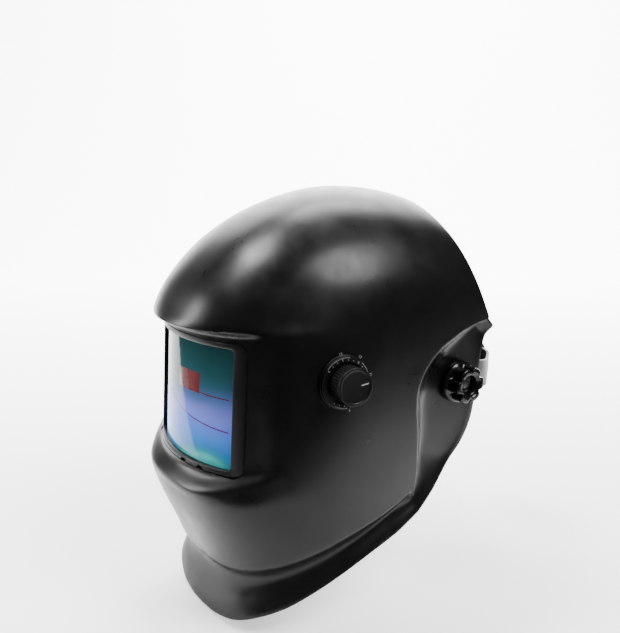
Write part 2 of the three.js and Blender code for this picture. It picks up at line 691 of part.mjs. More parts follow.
// ---------------------------------------------------------------- shade dial on the left cheek
function makeDial() {
  const seat = dialBossTop + gap;
  const ring = cut(
    rod("z", dialRingRadius, seat, seat + dialRingHeight, 0, 0, 40),
    rod("z", shadeKnobRadius + 1.6, seat - 1, seat + 3, 0, 0, 40),
  );
  add("dial_ring", inDialFrame(ring), plastic(0x232425, 0.5));
  const knobFoot = seat + 0.3;
  const nutTop = seat + 2.6;
  const nutRadius = 6;
  const ribs = 24;
  const outline = new THREE.Shape(range(ribs * 2).map((i) => {
    const r = shadeKnobRadius - (i % 2) * 0.7;
    const angle = (i / (ribs * 2)) * 2 * Math.PI;
    return new THREE.Vector2(r * Math.cos(angle), r * Math.sin(angle));
  }));
  const grip = solid(
    new THREE.ExtrudeGeometry(
      outline, { depth: shadeKnobHeight, bevelEnabled: false },
    ).translate(0, 0, knobFoot),
  );
  const hollow = rod("z", nutRadius + 2, knobFoot - 1, nutTop + 2.4, 0, 0, 24);
  const bore = rod("z", shadeShaftRadius + gap, knobFoot, knobFoot + shadeKnobHeight - 3, 0, 0, 20);
  add("shade_knob", inDialFrame(cut(grip, hollow, bore)), plastic(0x2a2a2b, 0.5));
  const potTop = dialBossFoot - gap;
  const potDepth = 9;
  const potRadius = 8.5;
  const shaft = rod(
    "z", shadeShaftRadius, potTop - potDepth + 3, knobFoot + shadeKnobHeight - 3 - gap, 0, 0, 20,
  );
  add("shade_shaft", inDialFrame(shaft), metal(0xb9bcc0));
  const pot = cut(
    join(
      rod("z", potRadius, potTop - potDepth, potTop, 0, 0, 28),
      rod("z", bushRadius, potTop - 1, nutTop + 1.2, 0, 0, 24),
    ),
    rod("z", shadeShaftRadius + runningGap, potTop - potDepth + 2, nutTop + 5, 0, 0, 20),
  );
  add("potentiometer", inDialFrame(pot), metal(0x9da1a6, 0.45));
  const nut = cut(
    rod("z", nutRadius, seat, nutTop, 0, 0, 6), rod("z", bushRadius + gap, seat - 1, nutTop + 1, 0, 0, 24),
  );
  add("potentiometer_nut", inDialFrame(nut), metal(0xb4b6b9));
  return potTop - potDepth;
}

// The lead from the potentiometer's inner end to the cartridge's rear face, clipped inside the shell.
function makeLead(potEnd) {
  const start = dial.p.clone().addScaledVector(dial.normal, potEnd - gap);
  const end = new THREE.Vector3(cartridgeWidth / 2 - 4, cartridgeRearY + gap, cartridgeHeight / 2 - 5);
  const route = new THREE.CatmullRomCurve3([
    start,
    start.clone().addScaledVector(dial.normal, -5),
    new THREE.Vector3(lerp(start.x, end.x, 0.35), start.y - 4, 33),
    new THREE.Vector3(lerp(start.x, end.x, 0.7), lerp(start.y, end.y, 0.45), 38),
    end.clone().add(new THREE.Vector3(0.5, 7, 0.5)),
    end,
  ]);
  const leadRadius = 1.5;
  const section = new THREE.Shape(range(8).map((i) => {
    const angle = (i / 8) * 2 * Math.PI;
    return new THREE.Vector2(leadRadius * Math.cos(angle), leadRadius * Math.sin(angle));
  }));
  add(
    "dial_lead",
    solid(new THREE.ExtrudeGeometry(section, { steps: 22, extrudePath: route, bevelEnabled: false })),
    plastic(0x161616, 0.6),
  );
}

// ---------------------------------------------------------------- side pivots
const pivotInnerX = pivotFaceX - shellWall; // inner face of the ear flange
const armOuterX = pivotInnerX - 2.8;
const armInnerX = armOuterX - armThickness;
const pivotHoleRadius = 7;
const pivotHoleReach = 9;
const collarRadius = pivotHoleRadius - gap;
const knobFootX = pivotFaceX + gap + washerThickness + gap;
const knobFaceX = knobFootX + pivotKnobHeight - 1.5;
function pivotKnob() {
  const footHeight = 4.5;
  const recessRadius = 7.4;
  const foot = rod(
    "x", pivotKnobRadius - 1.2, knobFootX, knobFootX + footHeight, 0, 0, 36, pivotKnobRadius,
  );
  const outline = new THREE.Shape(range(60).map((i) => {
    const angle = (i / 60) * 2 * Math.PI;
    const lobe = Math.pow(0.5 + 0.5 * Math.cos(angle * pivotLobes), 0.55);
    const r = pivotKnobRadius * (0.7 + 0.2 * lobe);
    return new THREE.Vector2(r * Math.cos(angle), r * Math.sin(angle));
  }));
  const crownDepth = knobFaceX - knobFootX - footHeight;
  const crown = new THREE.ExtrudeGeometry(outline, { depth: crownDepth + 0.5, bevelEnabled: false });
  const lobes = solid(crown.rotateY(Math.PI / 2).translate(knobFootX + footHeight - 0.5, 0, 0));
  const recess = rod("x", recessRadius, knobFootX + 7.5, knobFaceX + 1, 0, 0, 28);
  const nutSeat = rod("x", clampNutRadius + gap, knobFootX + 4, knobFaceX + 1, 0, 0, 6);
  const bore = rod("x", boltRadius + runningGap, knobFootX - 1, knobFaceX + 1, 0, 0, 24);
  return cut(join(foot, lobes), recess, nutSeat, bore);
}

function makePivot(side, label) {
  const group = new THREE.Group();
  group.scale.x = side;
  root.add(group);
  const put = (name, shape, material) => add(name + "_" + label, shape, material, group);
  put("pivot_knob", pivotKnob(), plastic(0x111112, 0.25));
  const nut = cut(
    rod("x", clampNutRadius, knobFootX + 4 + gap, knobFootX + 8.5, 0, 0, 6),
    rod("x", boltRadius + gap, knobFootX, knobFaceX, 0, 0, 24),
  );
  put("pivot_nut", nut, metal(0xa9a9a6, 0.3));
  const washer = cut(
    rod("x", washerRadius, pivotFaceX + gap, pivotFaceX + gap + washerThickness, 0, 0, 36),
    rod("x", boltRadius + gap, 80, 110, 0, 0, 24),
  );
  put("pivot_washer", washer, plastic(0x0e0e0e, 0.8));
  const bushing = join(
    rod("x", washerRadius, armOuterX + gap, pivotInnerX - gap, 0, 0, 36),
    rod("x", collarRadius, pivotInnerX - gap - 0.5, pivotFaceX, 0, 0, 28),
  );
  put("pivot_bush", cut(bushing, rod("x", boltRadius + gap, 80, 110, 0, 0, 24)), plastic(0x7c8288, 0.6));
  const bolt = join(
    rod("x", boltHeadRadius, armInnerX - gap - boltHeadThickness, armInnerX - gap, 0, 0, 28),
    box(
      armThickness + gap + 0.5, boltNeckSide, boltNeckSide, (armInnerX - gap + armOuterX) / 2 - 0.2, 0, 0,
    ),
    rod("x", boltRadius, armOuterX - 1, knobFootX + 10, 0, 0, 24),
  );
  put("pivot_bolt", bolt, metal(0x8f9296, 0.3));
}

// ---------------------------------------------------------------- head harness
const ringMiddleY = (headFront + headRear) / 2;
const ringHalfLength = (headRear - headFront) / 2;
// Centre line of the head ring, inside face: angle 0 points to the front, 90 degrees to the wearer's left.
const ringPoint = (angle, out = 0) => {
  const s = Math.sin(angle);
  const c = Math.cos(angle);
  const normal = new THREE.Vector3(s / headHalfWidth, -c / ringHalfLength, 0).normalize();
  const p = new THREE.Vector3(
    headHalfWidth * s, ringMiddleY - ringHalfLength * c, 0,
  ).addScaledVector(normal, out);
  return { p, normal };
};
// The ring is high in front and low behind.
const ringLift = (y) => -0.16 * (y - ringMiddleY) * smooth(Math.abs(y - ringMiddleY) / 60);
const up = new THREE.Vector3(0, 0, 1);
const rearZ = ringLift(headRear);

function ringStrap(from, to, steps, out, thickness, width) {
  const at = (u) => lerp(from, to, u);
  return strap(
    steps,
    (u) => {
      const { p } = ringPoint(at(u), out);
      p.z = ringLift(p.y);
      return p;
    },
    () => up,
    (u) => ringPoint(at(u)).normal,
    width,
    thickness,
  );
}

const frontBandEnd = 2.16; // radians round the ring from the middle of the forehead
function makeFrontBand() {
  const band = ringStrap(-frontBandEnd, frontBandEnd, 40, 0, bandThickness, bandHeight);
  add("front_band", cut(band, rivetHole(1), rivetHole(-1)), plastic(0x2c2c2e, 0.6));
  const padThickness = 5;
  add(
    "sweatband",
    ringStrap(-1.15, 1.15, 24, -padThickness - gap, padThickness, bandHeight + 6),
    plastic(0x3c3c3e, 0.95),
  );
}

// A slotted side arm: the pivot bolt's square neck slides along the slot.
// Two feet stand on the front band.
function makeArm(side, label) {
  const halfLength = 36;
  const footY = 27.5;
  const footRadius = 5;
  const bodyShape = new THREE.Shape();
  const r = 13;
  bodyShape.moveTo(-halfLength + r, -r);
  bodyShape.lineTo(halfLength - r, -r).absarc(halfLength - r, 0, r, -Math.PI / 2, Math.PI / 2);
  bodyShape.lineTo(-halfLength + r, r).absarc(-halfLength + r, 0, r, Math.PI / 2, 1.5 * Math.PI);
  const extruded = new THREE.ExtrudeGeometry(
    bodyShape, { depth: armThickness, bevelEnabled: false, curveSegments: 10 },
  );
  // The shape is drawn in YZ: local X becomes Y and local Y becomes Z.
  const toSide = new THREE.Matrix4().makeBasis(
    new THREE.Vector3(0, 1, 0), new THREE.Vector3(0, 0, 1), new THREE.Vector3(1, 0, 0),
  );
  const body = solid(extruded.applyMatrix4(toSide).translate(armInnerX, 0, 0));
  const slotWidth = boltNeckSide + 2 * runningGap;
  const slot = box(
    armThickness + 4, 2 * slotTravel + slotWidth, slotWidth, armInnerX + armThickness / 2, 0, 0,
  );
  const bandOuterX = (y) => {
    const c = (y - ringMiddleY) / ringHalfLength;
    return headHalfWidth * Math.sqrt(1 - c * c) + bandThickness;
  };
  const feet = [-1, 1].map((s) => {
    const nearest = bandOuterX(s * (footY - footRadius)) + gap;
    return rod("x", footRadius, nearest, armInnerX + 1, s * footY, 0, 20);
  });
  const group = new THREE.Group();
  group.scale.x = side;
  root.add(group);
  add("side_arm_" + label, cut(join(body, ...feet), slot), plastic(0x3f4144, 0.55), group);
}

// Rear band halves end in racks, one above and one below the pinion.
const rackLength = 24;
const rackHeight = 8;
const toothDepth = 1;
const toothPitch = (2 * Math.PI * (pinionRadius - toothDepth / 2)) / pinionTeeth;
const rackClearance = 0.15; // between the racks' backs and the pinion's teeth
const rackFrontY = headRear + 1.6;
const rackTeeth = 11; // half a pitch off the pinion's top and bottom teeth

function makeRearBand(side, label) {
  const rackFoot = pinionRadius + rackClearance;
  const rackZ = rearZ + side * (rackFoot + rackHeight / 2);
  const rackMiddleY = rackFrontY + bandThickness / 2;
  const outX = headHalfWidth + bandThickness + gap + bandThickness / 2;
  const besideRing = (widthShare, lengthShare) => {
    const y = ringMiddleY + ringHalfLength * lengthShare;
    return new THREE.Vector3(side * outX * widthShare, y, ringLift(y));
  };
  const route = new THREE.CatmullRomCurve3([
    besideRing(0.93, 0.41),
    besideRing(0.83, 0.642),
    besideRing(0.62, 0.863),
    new THREE.Vector3(side * (rackLength + 12), rackFrontY - 0.6, lerp(ringLift(headRear - 4), rackZ, 0.7)),
    new THREE.Vector3(side * (rackLength - 2), rackFrontY, rackZ),
  ]);
  const outward = (u) => {
    const tangent = route.getPoint(Math.min(1, u + 0.005)).sub(route.getPoint(Math.max(0, u - 0.005)));
    const n = new THREE.Vector3(tangent.y, -tangent.x, 0).normalize();
    return n.y + n.x * side * 0.5 < 0 ? n.negate() : n;
  };
  const width = (u) => lerp(bandHeight - 4, rackHeight, smooth((u - 0.3) / 0.55));
  const body = strap(20, (u) => route.getPoint(u), () => up, outward, width, bandThickness);
  const rack = box(2 * rackLength, bandThickness, rackHeight, 0, rackMiddleY, rackZ);
  const teeth = range(rackTeeth).map((k) => {
    const x = (k - rackTeeth / 2) * toothPitch;
    return box(
      1, bandThickness, toothDepth + 1, x, rackMiddleY, rearZ + side * (rackFoot - toothDepth / 2 + 0.5),
    );
  });
  add("rear_band_" + label, join(body, rack, ...teeth), plastic(0x2c2c2e, 0.6));
}

function makeRatchet() {
  const y0 = rackFrontY;
  const slotDepth = bandThickness + 1.2;
  const wall = 2.4;
  const caseHalfWidth = 30;
  const caseRim = 3; // height of the case above and below its cavity
  const caseHalfHeight = pinionRadius + rackClearance + rackHeight + gap + caseRim;
  const front = y0 - 0.6 - wall;
  const back = y0 - 0.6 + slotDepth + wall;
  const shape = roundedRectangle(
    -caseHalfWidth, caseHalfWidth, rearZ - caseHalfHeight, rearZ + caseHalfHeight, 9,
  );
  const cavity = box(
    2 * caseHalfWidth + 20, slotDepth, 2 * (caseHalfHeight - caseRim), 0, y0 - 0.6 + slotDepth / 2, rearZ,
  );
  const shaftHole = rod("y", ratchetShaftRadius + runningGap, y0, back + 2, 0, rearZ, 24);
  add(
    "ratchet_housing", cut(prismAlongY(shape, front, back, 8), cavity, shaftHole), plastic(0x2a2a2c, 0.5),
  );
  const pinionCore = rod("y", pinionRadius - toothDepth, y0, y0 + bandThickness, 0, rearZ, 28);
  const teeth = range(pinionTeeth).map((k) => {
    const tooth = new THREE.BoxGeometry(1, bandThickness, toothDepth + 1.4);
    tooth.translate(0, y0 + bandThickness / 2, pinionRadius - (toothDepth + 1.4) / 2 - 0.1);
    return solid(tooth.rotateY((k / pinionTeeth) * 2 * Math.PI).translate(0, 0, rearZ));
  });
  const pinion = cut(
    join(pinionCore, ...teeth), rod("y", ratchetShaftRadius + gap, y0 - 1, y0 + 5, 0, rearZ, 20),
  );
  add("ratchet_pinion", pinion, plastic(0xc9c9c4, 0.5));
  const knobHeight = 12;
  const lobes = 12;
  const outline = new THREE.Shape(range(72).map((i) => {
    const angle = (i / 72) * 2 * Math.PI;
    const r = ratchetRadius - 1.6 * Math.pow(0.5 - 0.5 * Math.cos(angle * lobes), 2);
    return new THREE.Vector2(r * Math.cos(angle), rearZ + r * Math.sin(angle));
  }));
  const grip = prismAlongY(outline, back + runningGap, back + runningGap + knobHeight, 2);
  const shaft = rod("y", ratchetShaftRadius, y0 + 0.2, back + 2, 0, rearZ, 20);
  add("ratchet_knob", join(grip, shaft), plastic(0x1c1c1e, 0.45));
  const padFront = front - gap;
  const pad = strap(
    12,
    (u) => new THREE.Vector3(lerp(-34, 34, u), padFront - 8 - 9 * Math.pow(2 * u - 1, 2), rearZ),
    () => up,
    () => new THREE.Vector3(0, 1, 0),
    34,
    8,
  );
  add("rear_pad", pad, plastic(0x38383a, 0.95));
}

// Crown straps: two halves from side to side that overlap on top, riveted to the band inside it.
const crownSideY = -14;
const strapThickness = 1.8;
const crownPinRadius = 3;
const rivetRadius = 2.2;
const rivetHeadRadius = 4.4;
const rivetZ = 9;
const bandInsideX = (y) => headHalfWidth * Math.sqrt(1 - ((y - ringMiddleY) / ringHalfLength) ** 2);
const strapOuterX = bandInsideX(crownSideY - crownStrapWidth / 2) - gap;
const rivetHole = (side) => {
  const middle = side * headHalfWidth;
  return rod("x", rivetRadius + gap, middle - 12, middle + 12, crownSideY, rivetZ, 16);
};

function crownStrap(side, lift) {
  const foot = 8; // height at which the arch springs
  const at = (u) => lerp(-0.12, Math.PI / 2 + 0.28, u);
  const offset = (u) => lift * smooth((u - 0.35) / 0.3);
  const centre = (u) => {
    const out = offset(u) - strapThickness;
    const x = side * (strapOuterX + out) * Math.cos(at(u));
    return new THREE.Vector3(x, crownSideY, foot + (crownStrapTop - foot + out) * Math.sin(at(u)));
  };
  const outward = (u) => new THREE.Vector3(side * Math.cos(at(u)), 0, Math.sin(at(u)));
  const shape = strap(
    18, centre, () => new THREE.Vector3(0, 1, 0), outward, crownStrapWidth, strapThickness,
  );
  const pinHole = rod("z", crownPinRadius + gap, crownStrapTop - 20, crownStrapTop + 20, 0, crownSideY, 16);
  return cut(shape, pinHole, rivetHole(side));
}

function makeCrown() {
  const lift = strapThickness + gap;
  add("crown_strap_left", crownStrap(1, 0), plastic(0x303032, 0.65));
  add("crown_strap_right", crownStrap(-1, lift), plastic(0x303032, 0.65));
  const pinFoot = crownStrapTop - strapThickness - gap - 0.7;
  const pinHead = crownStrapTop + lift + gap;
  const pin = join(
    rod("z", crownPinRadius, pinFoot - 1, pinHead + 1, 0, crownSideY, 16),
    rod("z", 5, pinHead, pinHead + 2, 0, crownSideY, 20),
    rod("z", 4.6, pinFoot - 1.4, pinFoot, 0, crownSideY, 20),
  );
  add("crown_pin", pin, plastic(0x232325, 0.5));
  for (const [side, label] of [[1, "left"], [-1, "right"]]) {
    const innerX = strapOuterX - strapThickness - gap;
    const outerX = headHalfWidth + bandThickness + gap;
    const rivet = join(
      rod("x", rivetHeadRadius, innerX - 1.2, innerX, side * crownSideY, rivetZ, 20),
      rod("x", rivetRadius, innerX - 1, outerX + 1, side * crownSideY, rivetZ, 16),
      rod("x", rivetHeadRadius, outerX, outerX + 1.4, side * crownSideY, rivetZ, 20),
    );
    const rivetMesh = add("strap_rivet_" + label, rivet, metal(0x8f9296));
    if (side < 0) rivetMesh.rotation.z = Math.PI;
  }
}

// ---------------------------------------------------------------- the whole helmet
makeShell();
makeWindow();
makeCartridge();
makeControls();
makeLead(makeDial());
for (const [side, label] of [[1, "left"], [-1, "right"]]) {
  makePivot(side, label);
  makeArm(side, label);
  makeRearBand(side, label);
}
makeFrontBand();
makeRatchet();
makeCrown();

export default root;
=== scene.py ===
import math

import bmesh
import bpy
import numpy as np
from mathutils import Matrix, Vector


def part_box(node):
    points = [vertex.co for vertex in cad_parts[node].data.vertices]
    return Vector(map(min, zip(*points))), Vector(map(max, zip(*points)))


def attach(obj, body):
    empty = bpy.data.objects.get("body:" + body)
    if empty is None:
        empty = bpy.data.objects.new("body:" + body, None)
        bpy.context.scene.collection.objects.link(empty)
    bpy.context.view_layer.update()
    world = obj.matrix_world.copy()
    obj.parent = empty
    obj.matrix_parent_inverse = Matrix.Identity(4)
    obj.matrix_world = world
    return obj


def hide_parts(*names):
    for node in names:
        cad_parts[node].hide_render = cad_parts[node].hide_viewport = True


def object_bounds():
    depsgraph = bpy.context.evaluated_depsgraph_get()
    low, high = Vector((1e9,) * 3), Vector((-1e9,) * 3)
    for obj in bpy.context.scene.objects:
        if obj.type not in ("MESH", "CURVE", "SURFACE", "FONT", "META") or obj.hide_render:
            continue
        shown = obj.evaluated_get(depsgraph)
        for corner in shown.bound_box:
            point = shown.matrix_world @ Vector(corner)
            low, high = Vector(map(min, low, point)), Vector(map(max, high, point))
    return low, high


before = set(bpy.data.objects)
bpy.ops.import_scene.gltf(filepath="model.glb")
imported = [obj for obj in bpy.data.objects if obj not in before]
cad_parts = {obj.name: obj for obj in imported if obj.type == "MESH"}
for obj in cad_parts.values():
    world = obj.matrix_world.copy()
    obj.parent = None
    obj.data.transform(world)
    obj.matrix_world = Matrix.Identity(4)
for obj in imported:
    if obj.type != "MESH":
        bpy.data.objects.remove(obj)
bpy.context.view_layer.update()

MM = 0.001
GAP = 0.35
SIDES = (("left", 1), ("right", -1))


# ------------------------------------------------------------------ camera
VIEW_AZIMUTH = math.radians(55.09)
VIEW_ELEVATION = math.radians(13.0)


def place_camera():
    azimuth, elevation = VIEW_AZIMUTH, VIEW_ELEVATION
    distance, aim_right, aim_up = 0.7056, -0.0623, 0.0335
    ahead = Vector((-math.sin(azimuth) * math.cos(elevation), math.cos(azimuth) * math.cos(elevation),
                    -math.sin(elevation)))
    right = Vector((math.cos(azimuth), math.sin(azimuth), 0))
    up = right.cross(ahead)
    camera = bpy.data.objects.new("camera", bpy.data.cameras.new("camera"))
    camera.data.lens = 45.71
    camera.data.sensor_width = 36
    camera.data.clip_start = 0.01
    camera.location = -ahead * distance + right * aim_right + up * aim_up
    camera.rotation_euler = Matrix((right, up, -ahead)).transposed().to_euler()
    bpy.context.scene.collection.objects.link(camera)
    bpy.context.scene.camera = camera


place_camera()


# ------------------------------------------------------------------ numbers and curves
def lerp(a, b, t):
    return a + (b - a) * t


def clamp01(v):
    return min(1.0, max(0.0, v))


def smooth(v):
    c = clamp01(v)
    return c * c * (3 - 2 * c)


def curve_through(pairs):
    """A smooth function of one value through (value, result) pairs, flat beyond both ends."""
    last = len(pairs) - 1
    slopes = []
    for i in range(len(pairs)):
        a, b = pairs[max(0, i - 1)], pairs[min(last, i + 1)]
        slopes.append((b[1] - a[1]) / (b[0] - a[0]))

    def value(v):
        if v <= pairs[0][0]:
            return pairs[0][1]
        if v >= pairs[last][0]:
            return pairs[last][1]
        i = 0
        while v > pairs[i + 1][0]:
            i += 1
        width = pairs[i + 1][0] - pairs[i][0]
        s = (v - pairs[i][0]) / width
        s2, s3 = s * s, s * s * s
        return ((2 * s3 - 3 * s2 + 1) * pairs[i][1] + (s3 - 2 * s2 + s) * width * slopes[i]
                + (3 * s2 - 2 * s3) * pairs[i + 1][1] + (s3 - s2) * width * slopes[i + 1])

    return value


def polar_pairs(points):
    """(angle, distance) from the section axis for (y, z) points, sorted by angle."""
    pairs = [(math.degrees(math.atan2(z, SECTION_Y - y)), math.hypot(z, SECTION_Y - y)) for y, z in points]
    return sorted(pairs)


# ------------------------------------------------------------------ meshes
def make_object(name, points, faces, body, slot, scale=MM):
    mesh = bpy.data.meshes.new(name)
    mesh.from_pydata([tuple(c * scale for c in p) for p in points], [], faces)
    return finish_object(bpy.data.objects.new(name, mesh), body, slot)


def finish_object(obj, body, slot):
    bpy.context.scene.collection.objects.link(obj)
    face_outwards(obj)
    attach(obj, body)
    obj.data.materials.clear()
    obj.data.materials.append(FINISHES[slot])
    return obj


def face_outwards(obj):
    bm = bmesh.new()
    bm.from_mesh(obj.data)
    bmesh.ops.recalc_face_normals(bm, faces=bm.faces)
    bm.to_mesh(obj.data)
    bm.free()


def shade(obj, sharp_degrees=35):
    obj.data.polygons.foreach_set("use_smooth", [True] * len(obj.data.polygons))
    obj.data.set_sharp_from_angle(angle=math.radians(sharp_degrees))
    return obj


def apply_modifiers(obj):
    """Makes the object's mesh what its modifiers give, and removes them."""
    bpy.context.view_layer.update()
    depsgraph = bpy.context.evaluated_depsgraph_get()
    mesh = bpy.data.meshes.new_from_object(obj.evaluated_get(depsgraph))
    obj.modifiers.clear()
    obj.data = mesh
    return obj


def boolean(obj, tool, operation="DIFFERENCE"):
    modifier = obj.modifiers.new("cut", "BOOLEAN")
    modifier.operation = operation
    modifier.solver = "EXACT"
    modifier.object = tool
    apply_modifiers(obj)
    bpy.data.objects.remove(tool)


def tool_object(points, faces):
    """A passing solid, in millimetres, that a boolean uses and then removes."""
    mesh = bpy.data.meshes.new("tool")
    mesh.from_pydata([tuple(c * MM for c in p) for p in points], [], faces)
    obj = bpy.data.objects.new("tool", mesh)
    bpy.context.scene.collection.objects.link(obj)
    face_outwards(obj)
    return obj


def loops_to_mesh(loops, closed_path=False):
    """Joins equal loops of points one after another; an open path gets a face on its first and last loop."""
    n = len(loops[0])
    points = [p for loop in loops for p in loop]
    faces = []
    count = len(loops)
    for i in range(count if closed_path else count - 1):
        j = (i + 1) % count
        for k in range(n):
            m = (k + 1) % n
            faces.append((i * n + k, i * n + m, j * n + m, j * n + k))
    if not closed_path:
        faces.append(tuple(range(n))[::-1])
        faces.append(tuple((count - 1) * n + k for k in range(n)))
    return points, faces


def turned(profile, place, sides=64, radius_at=None):
    """A turned piece: (radius, height) pairs round the local Z axis, carried into place by a matrix."""
    loops = []
    for r, h in profile:
        loop = []
        for k in range(sides):
            angle = 2 * math.pi * k / sides
            radius = radius_at(r, h, angle) if radius_at else r
            loop.append(place @ Vector((radius * math.cos(angle), radius * math.sin(angle), h)))
        loops.append(loop)
    return loops


def rounded_profile(corners, radius, steps=3):
    """The corners of a profile with each inner one rounded off."""
    out = [corners[0]]
    for before, corner, after in zip(corners, corners[1:], corners[2:]):
        a, c, b = Vector(before), Vector(corner), Vector(after)
        reach = min(radius, (a - c).length * 0.45, (b - c).length * 0.45)
        start, end = c + (a - c).normalized() * reach, c + (b - c).normalized() * reach
        for s in range(steps + 1):
            t = s / steps
            out.append(tuple(start.lerp(c, t).lerp(c.lerp(end, t), t)))
    out.append(corners[-1])
    return out


def split_runs(profile, longest, measure=math.hypot):
    """The profile with each run split into equal pieces of about the given length."""
    out = []
    for (r0, h0), (r1, h1) in zip(profile, profile[1:]):
        pieces = max(1, round(measure(r1 - r0, h1 - h0) / longest))
        out += [(lerp(r0, r1, k / pieces), lerp(h0, h1, k / pieces)) for k in range(pieces)]
    return out + [profile[-1]]


def along(axis, origin=(0, 0, 0)):
    """The matrix that takes local Z to an axis through a point."""
    turn = Vector((0, 0, 1)).rotation_difference(Vector(axis)).to_matrix().to_4x4()
    return Matrix.Translation(origin) @ turn


def refined(node, slot, body, bevel=0.4, sharp=30, segments=2):
    """A finer copy of a plain piece, with whole flat faces and rounded edges; it stands for the node."""
    obj = bpy.data.objects.new(node + "_moulded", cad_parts[node].data.copy())
    bm = bmesh.new()
    bm.from_mesh(obj.data)
    bmesh.ops.remove_doubles(bm, verts=bm.verts, dist=2e-6)
    bmesh.ops.dissolve_limit(bm, angle_limit=math.radians(1.0), verts=bm.verts, edges=bm.edges)
    bm.to_mesh(obj.data)
    bm.free()
    finish_object(obj, body, slot)
    modifier = obj.modifiers.new("edges", "BEVEL")
    modifier.width = bevel * MM
    modifier.segments = segments
    modifier.limit_method = "ANGLE"
    modifier.angle_limit = math.radians(sharp)
    apply_modifiers(obj)
    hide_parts(node)
    return shade(obj, sharp)


# ------------------------------------------------------------------ shader node groups
def new_group(name, inputs, outputs):
    group = bpy.data.node_groups.new(name, "ShaderNodeTree")
    for label, kind, value in inputs:
        socket = group.interface.new_socket(label, in_out="INPUT", socket_type=kind)
        if value is not None:
            socket.default_value = value
    for label, kind in outputs:
        group.interface.new_socket(label, in_out="OUTPUT", socket_type=kind)
    return group, group.nodes.new("NodeGroupInput"), group.nodes.new("NodeGroupOutput")


def add_node(tree, kind, links=None, **values):
    """A node with its fields set; links is {input name or number: an output socket or a plain value}."""
    node = tree.nodes.new(kind)
    for key, value in values.items():
        setattr(node, key, value)
    for key, value in (links or {}).items():
        if isinstance(value, bpy.types.NodeSocket):
            tree.links.new(value, node.inputs[key])
        else:
            node.inputs[key].default_value = value
    return node


def noise(tree, coordinate, scale, detail=2.0, roughness=0.5):
    links = {"Vector": coordinate, "Scale": scale, "Detail": detail, "Roughness": roughness}
    return add_node(tree, "ShaderNodeTexNoise", links).outputs["Fac"]


def remap(tree, value, low, high, to_low, to_high):
    links = {"Value": value, "From Min": low, "From Max": high, "To Min": to_low, "To Max": to_high}
    return add_node(tree, "ShaderNodeMapRange", links).outputs["Result"]


def mix_colour(tree, factor, a, b, mode="MIX"):
    node = add_node(tree, "ShaderNodeMix", data_type="RGBA", blend_type=mode)
    for index, value in ((0, factor), (6, a), (7, b)):
        if isinstance(value, bpy.types.NodeSocket):
            tree.links.new(value, node.inputs[index])
        else:
            node.inputs[index].default_value = value
    return node.outputs[2]


def calculate(tree, operation, a, b=0.0):
    return add_node(tree, "ShaderNodeMath", {0: a, 1: b}, operation=operation).outputs[0]


def object_place(tree):
    return add_node(tree, "ShaderNodeTexCoord").outputs["Object"]


def build_grain_group():
    """Fine moulded grain with faint handling marks: normal, and a mask of where hands polish it."""
    group, given, out = new_group(
        "moulded_grain",
        [("Grain Scale", "NodeSocketFloat", 1800.0), ("Grain Height", "NodeSocketFloat", 0.1),
         ("Wave Height", "NodeSocketFloat", 0.1)],
        [("Normal", "NodeSocketVector"), ("Handling", "NodeSocketFloat")])
    place = object_place(group)
    grain = noise(group, place, given.outputs["Grain Scale"], 3.0, 0.6)
    fine = add_node(group, "ShaderNodeBump",
                    {"Strength": given.outputs["Grain Height"], "Distance": 0.0002, "Height": grain})
    waves = noise(group, place, 26.0, 1.0)
    wide = add_node(group, "ShaderNodeBump",
                    {"Strength": given.outputs["Wave Height"], "Distance": 0.002, "Height": waves,
                     "Normal": fine.outputs["Normal"]})
    group.links.new(wide.outputs["Normal"], out.inputs["Normal"])
    handling = remap(group, noise(group, place, 30.0, 2.0, 0.5), 0.35, 0.72, 0.0, 1.0)
    group.links.new(handling, out.inputs["Handling"])
    return group


def build_variation_group():
    """Colour and roughness that drift over the surface, with specks of dust."""
    group, given, out = new_group(
        "drift_and_dust",
        [("Colour", "NodeSocketColor", (0.1, 0.1, 0.1, 1)), ("Spread", "NodeSocketFloat", 0.15),
         ("Roughness", "NodeSocketFloat", 0.5), ("Roughness Spread", "NodeSocketFloat", 0.08),
         ("Dust", "NodeSocketFloat", 0.05)],
        [("Colour", "NodeSocketColor"), ("Roughness", "NodeSocketFloat")])
    place = object_place(group)
    drift = noise(group, place, 15.0, 4.0, 0.6)
    drifted = remap(group, drift, 0.3, 0.7, -1.0, 1.0)
    brightness = calculate(group, "ADD", calculate(group, "MULTIPLY", drifted, given.outputs["Spread"]), 1.0)
    scaled = add_node(group, "ShaderNodeVectorMath", {0: given.outputs["Colour"]}, operation="SCALE")
    group.links.new(brightness, scaled.inputs["Scale"])
    speck = remap(group, noise(group, place, 900.0, 2.0), 0.66, 0.74, 0.0, 1.0)
    patches = remap(group, noise(group, place, 12.0, 3.0), 0.42, 0.7, 0.0, 1.0)
    settled = calculate(group, "MULTIPLY", patches, speck)
    amount = calculate(group, "MULTIPLY", settled, given.outputs["Dust"])
    dusty = mix_colour(group, amount, scaled.outputs["Vector"], (0.45, 0.44, 0.42, 1))
    group.links.new(dusty, out.inputs["Colour"])
    smears = remap(group, noise(group, place, 60.0, 5.0, 0.6), 0.3, 0.7, -1.0, 1.0)
    swing = calculate(group, "MULTIPLY", smears, given.outputs["Roughness Spread"])
    group.links.new(calculate(group, "ADD", given.outputs["Roughness"], swing), out.inputs["Roughness"])
    return group


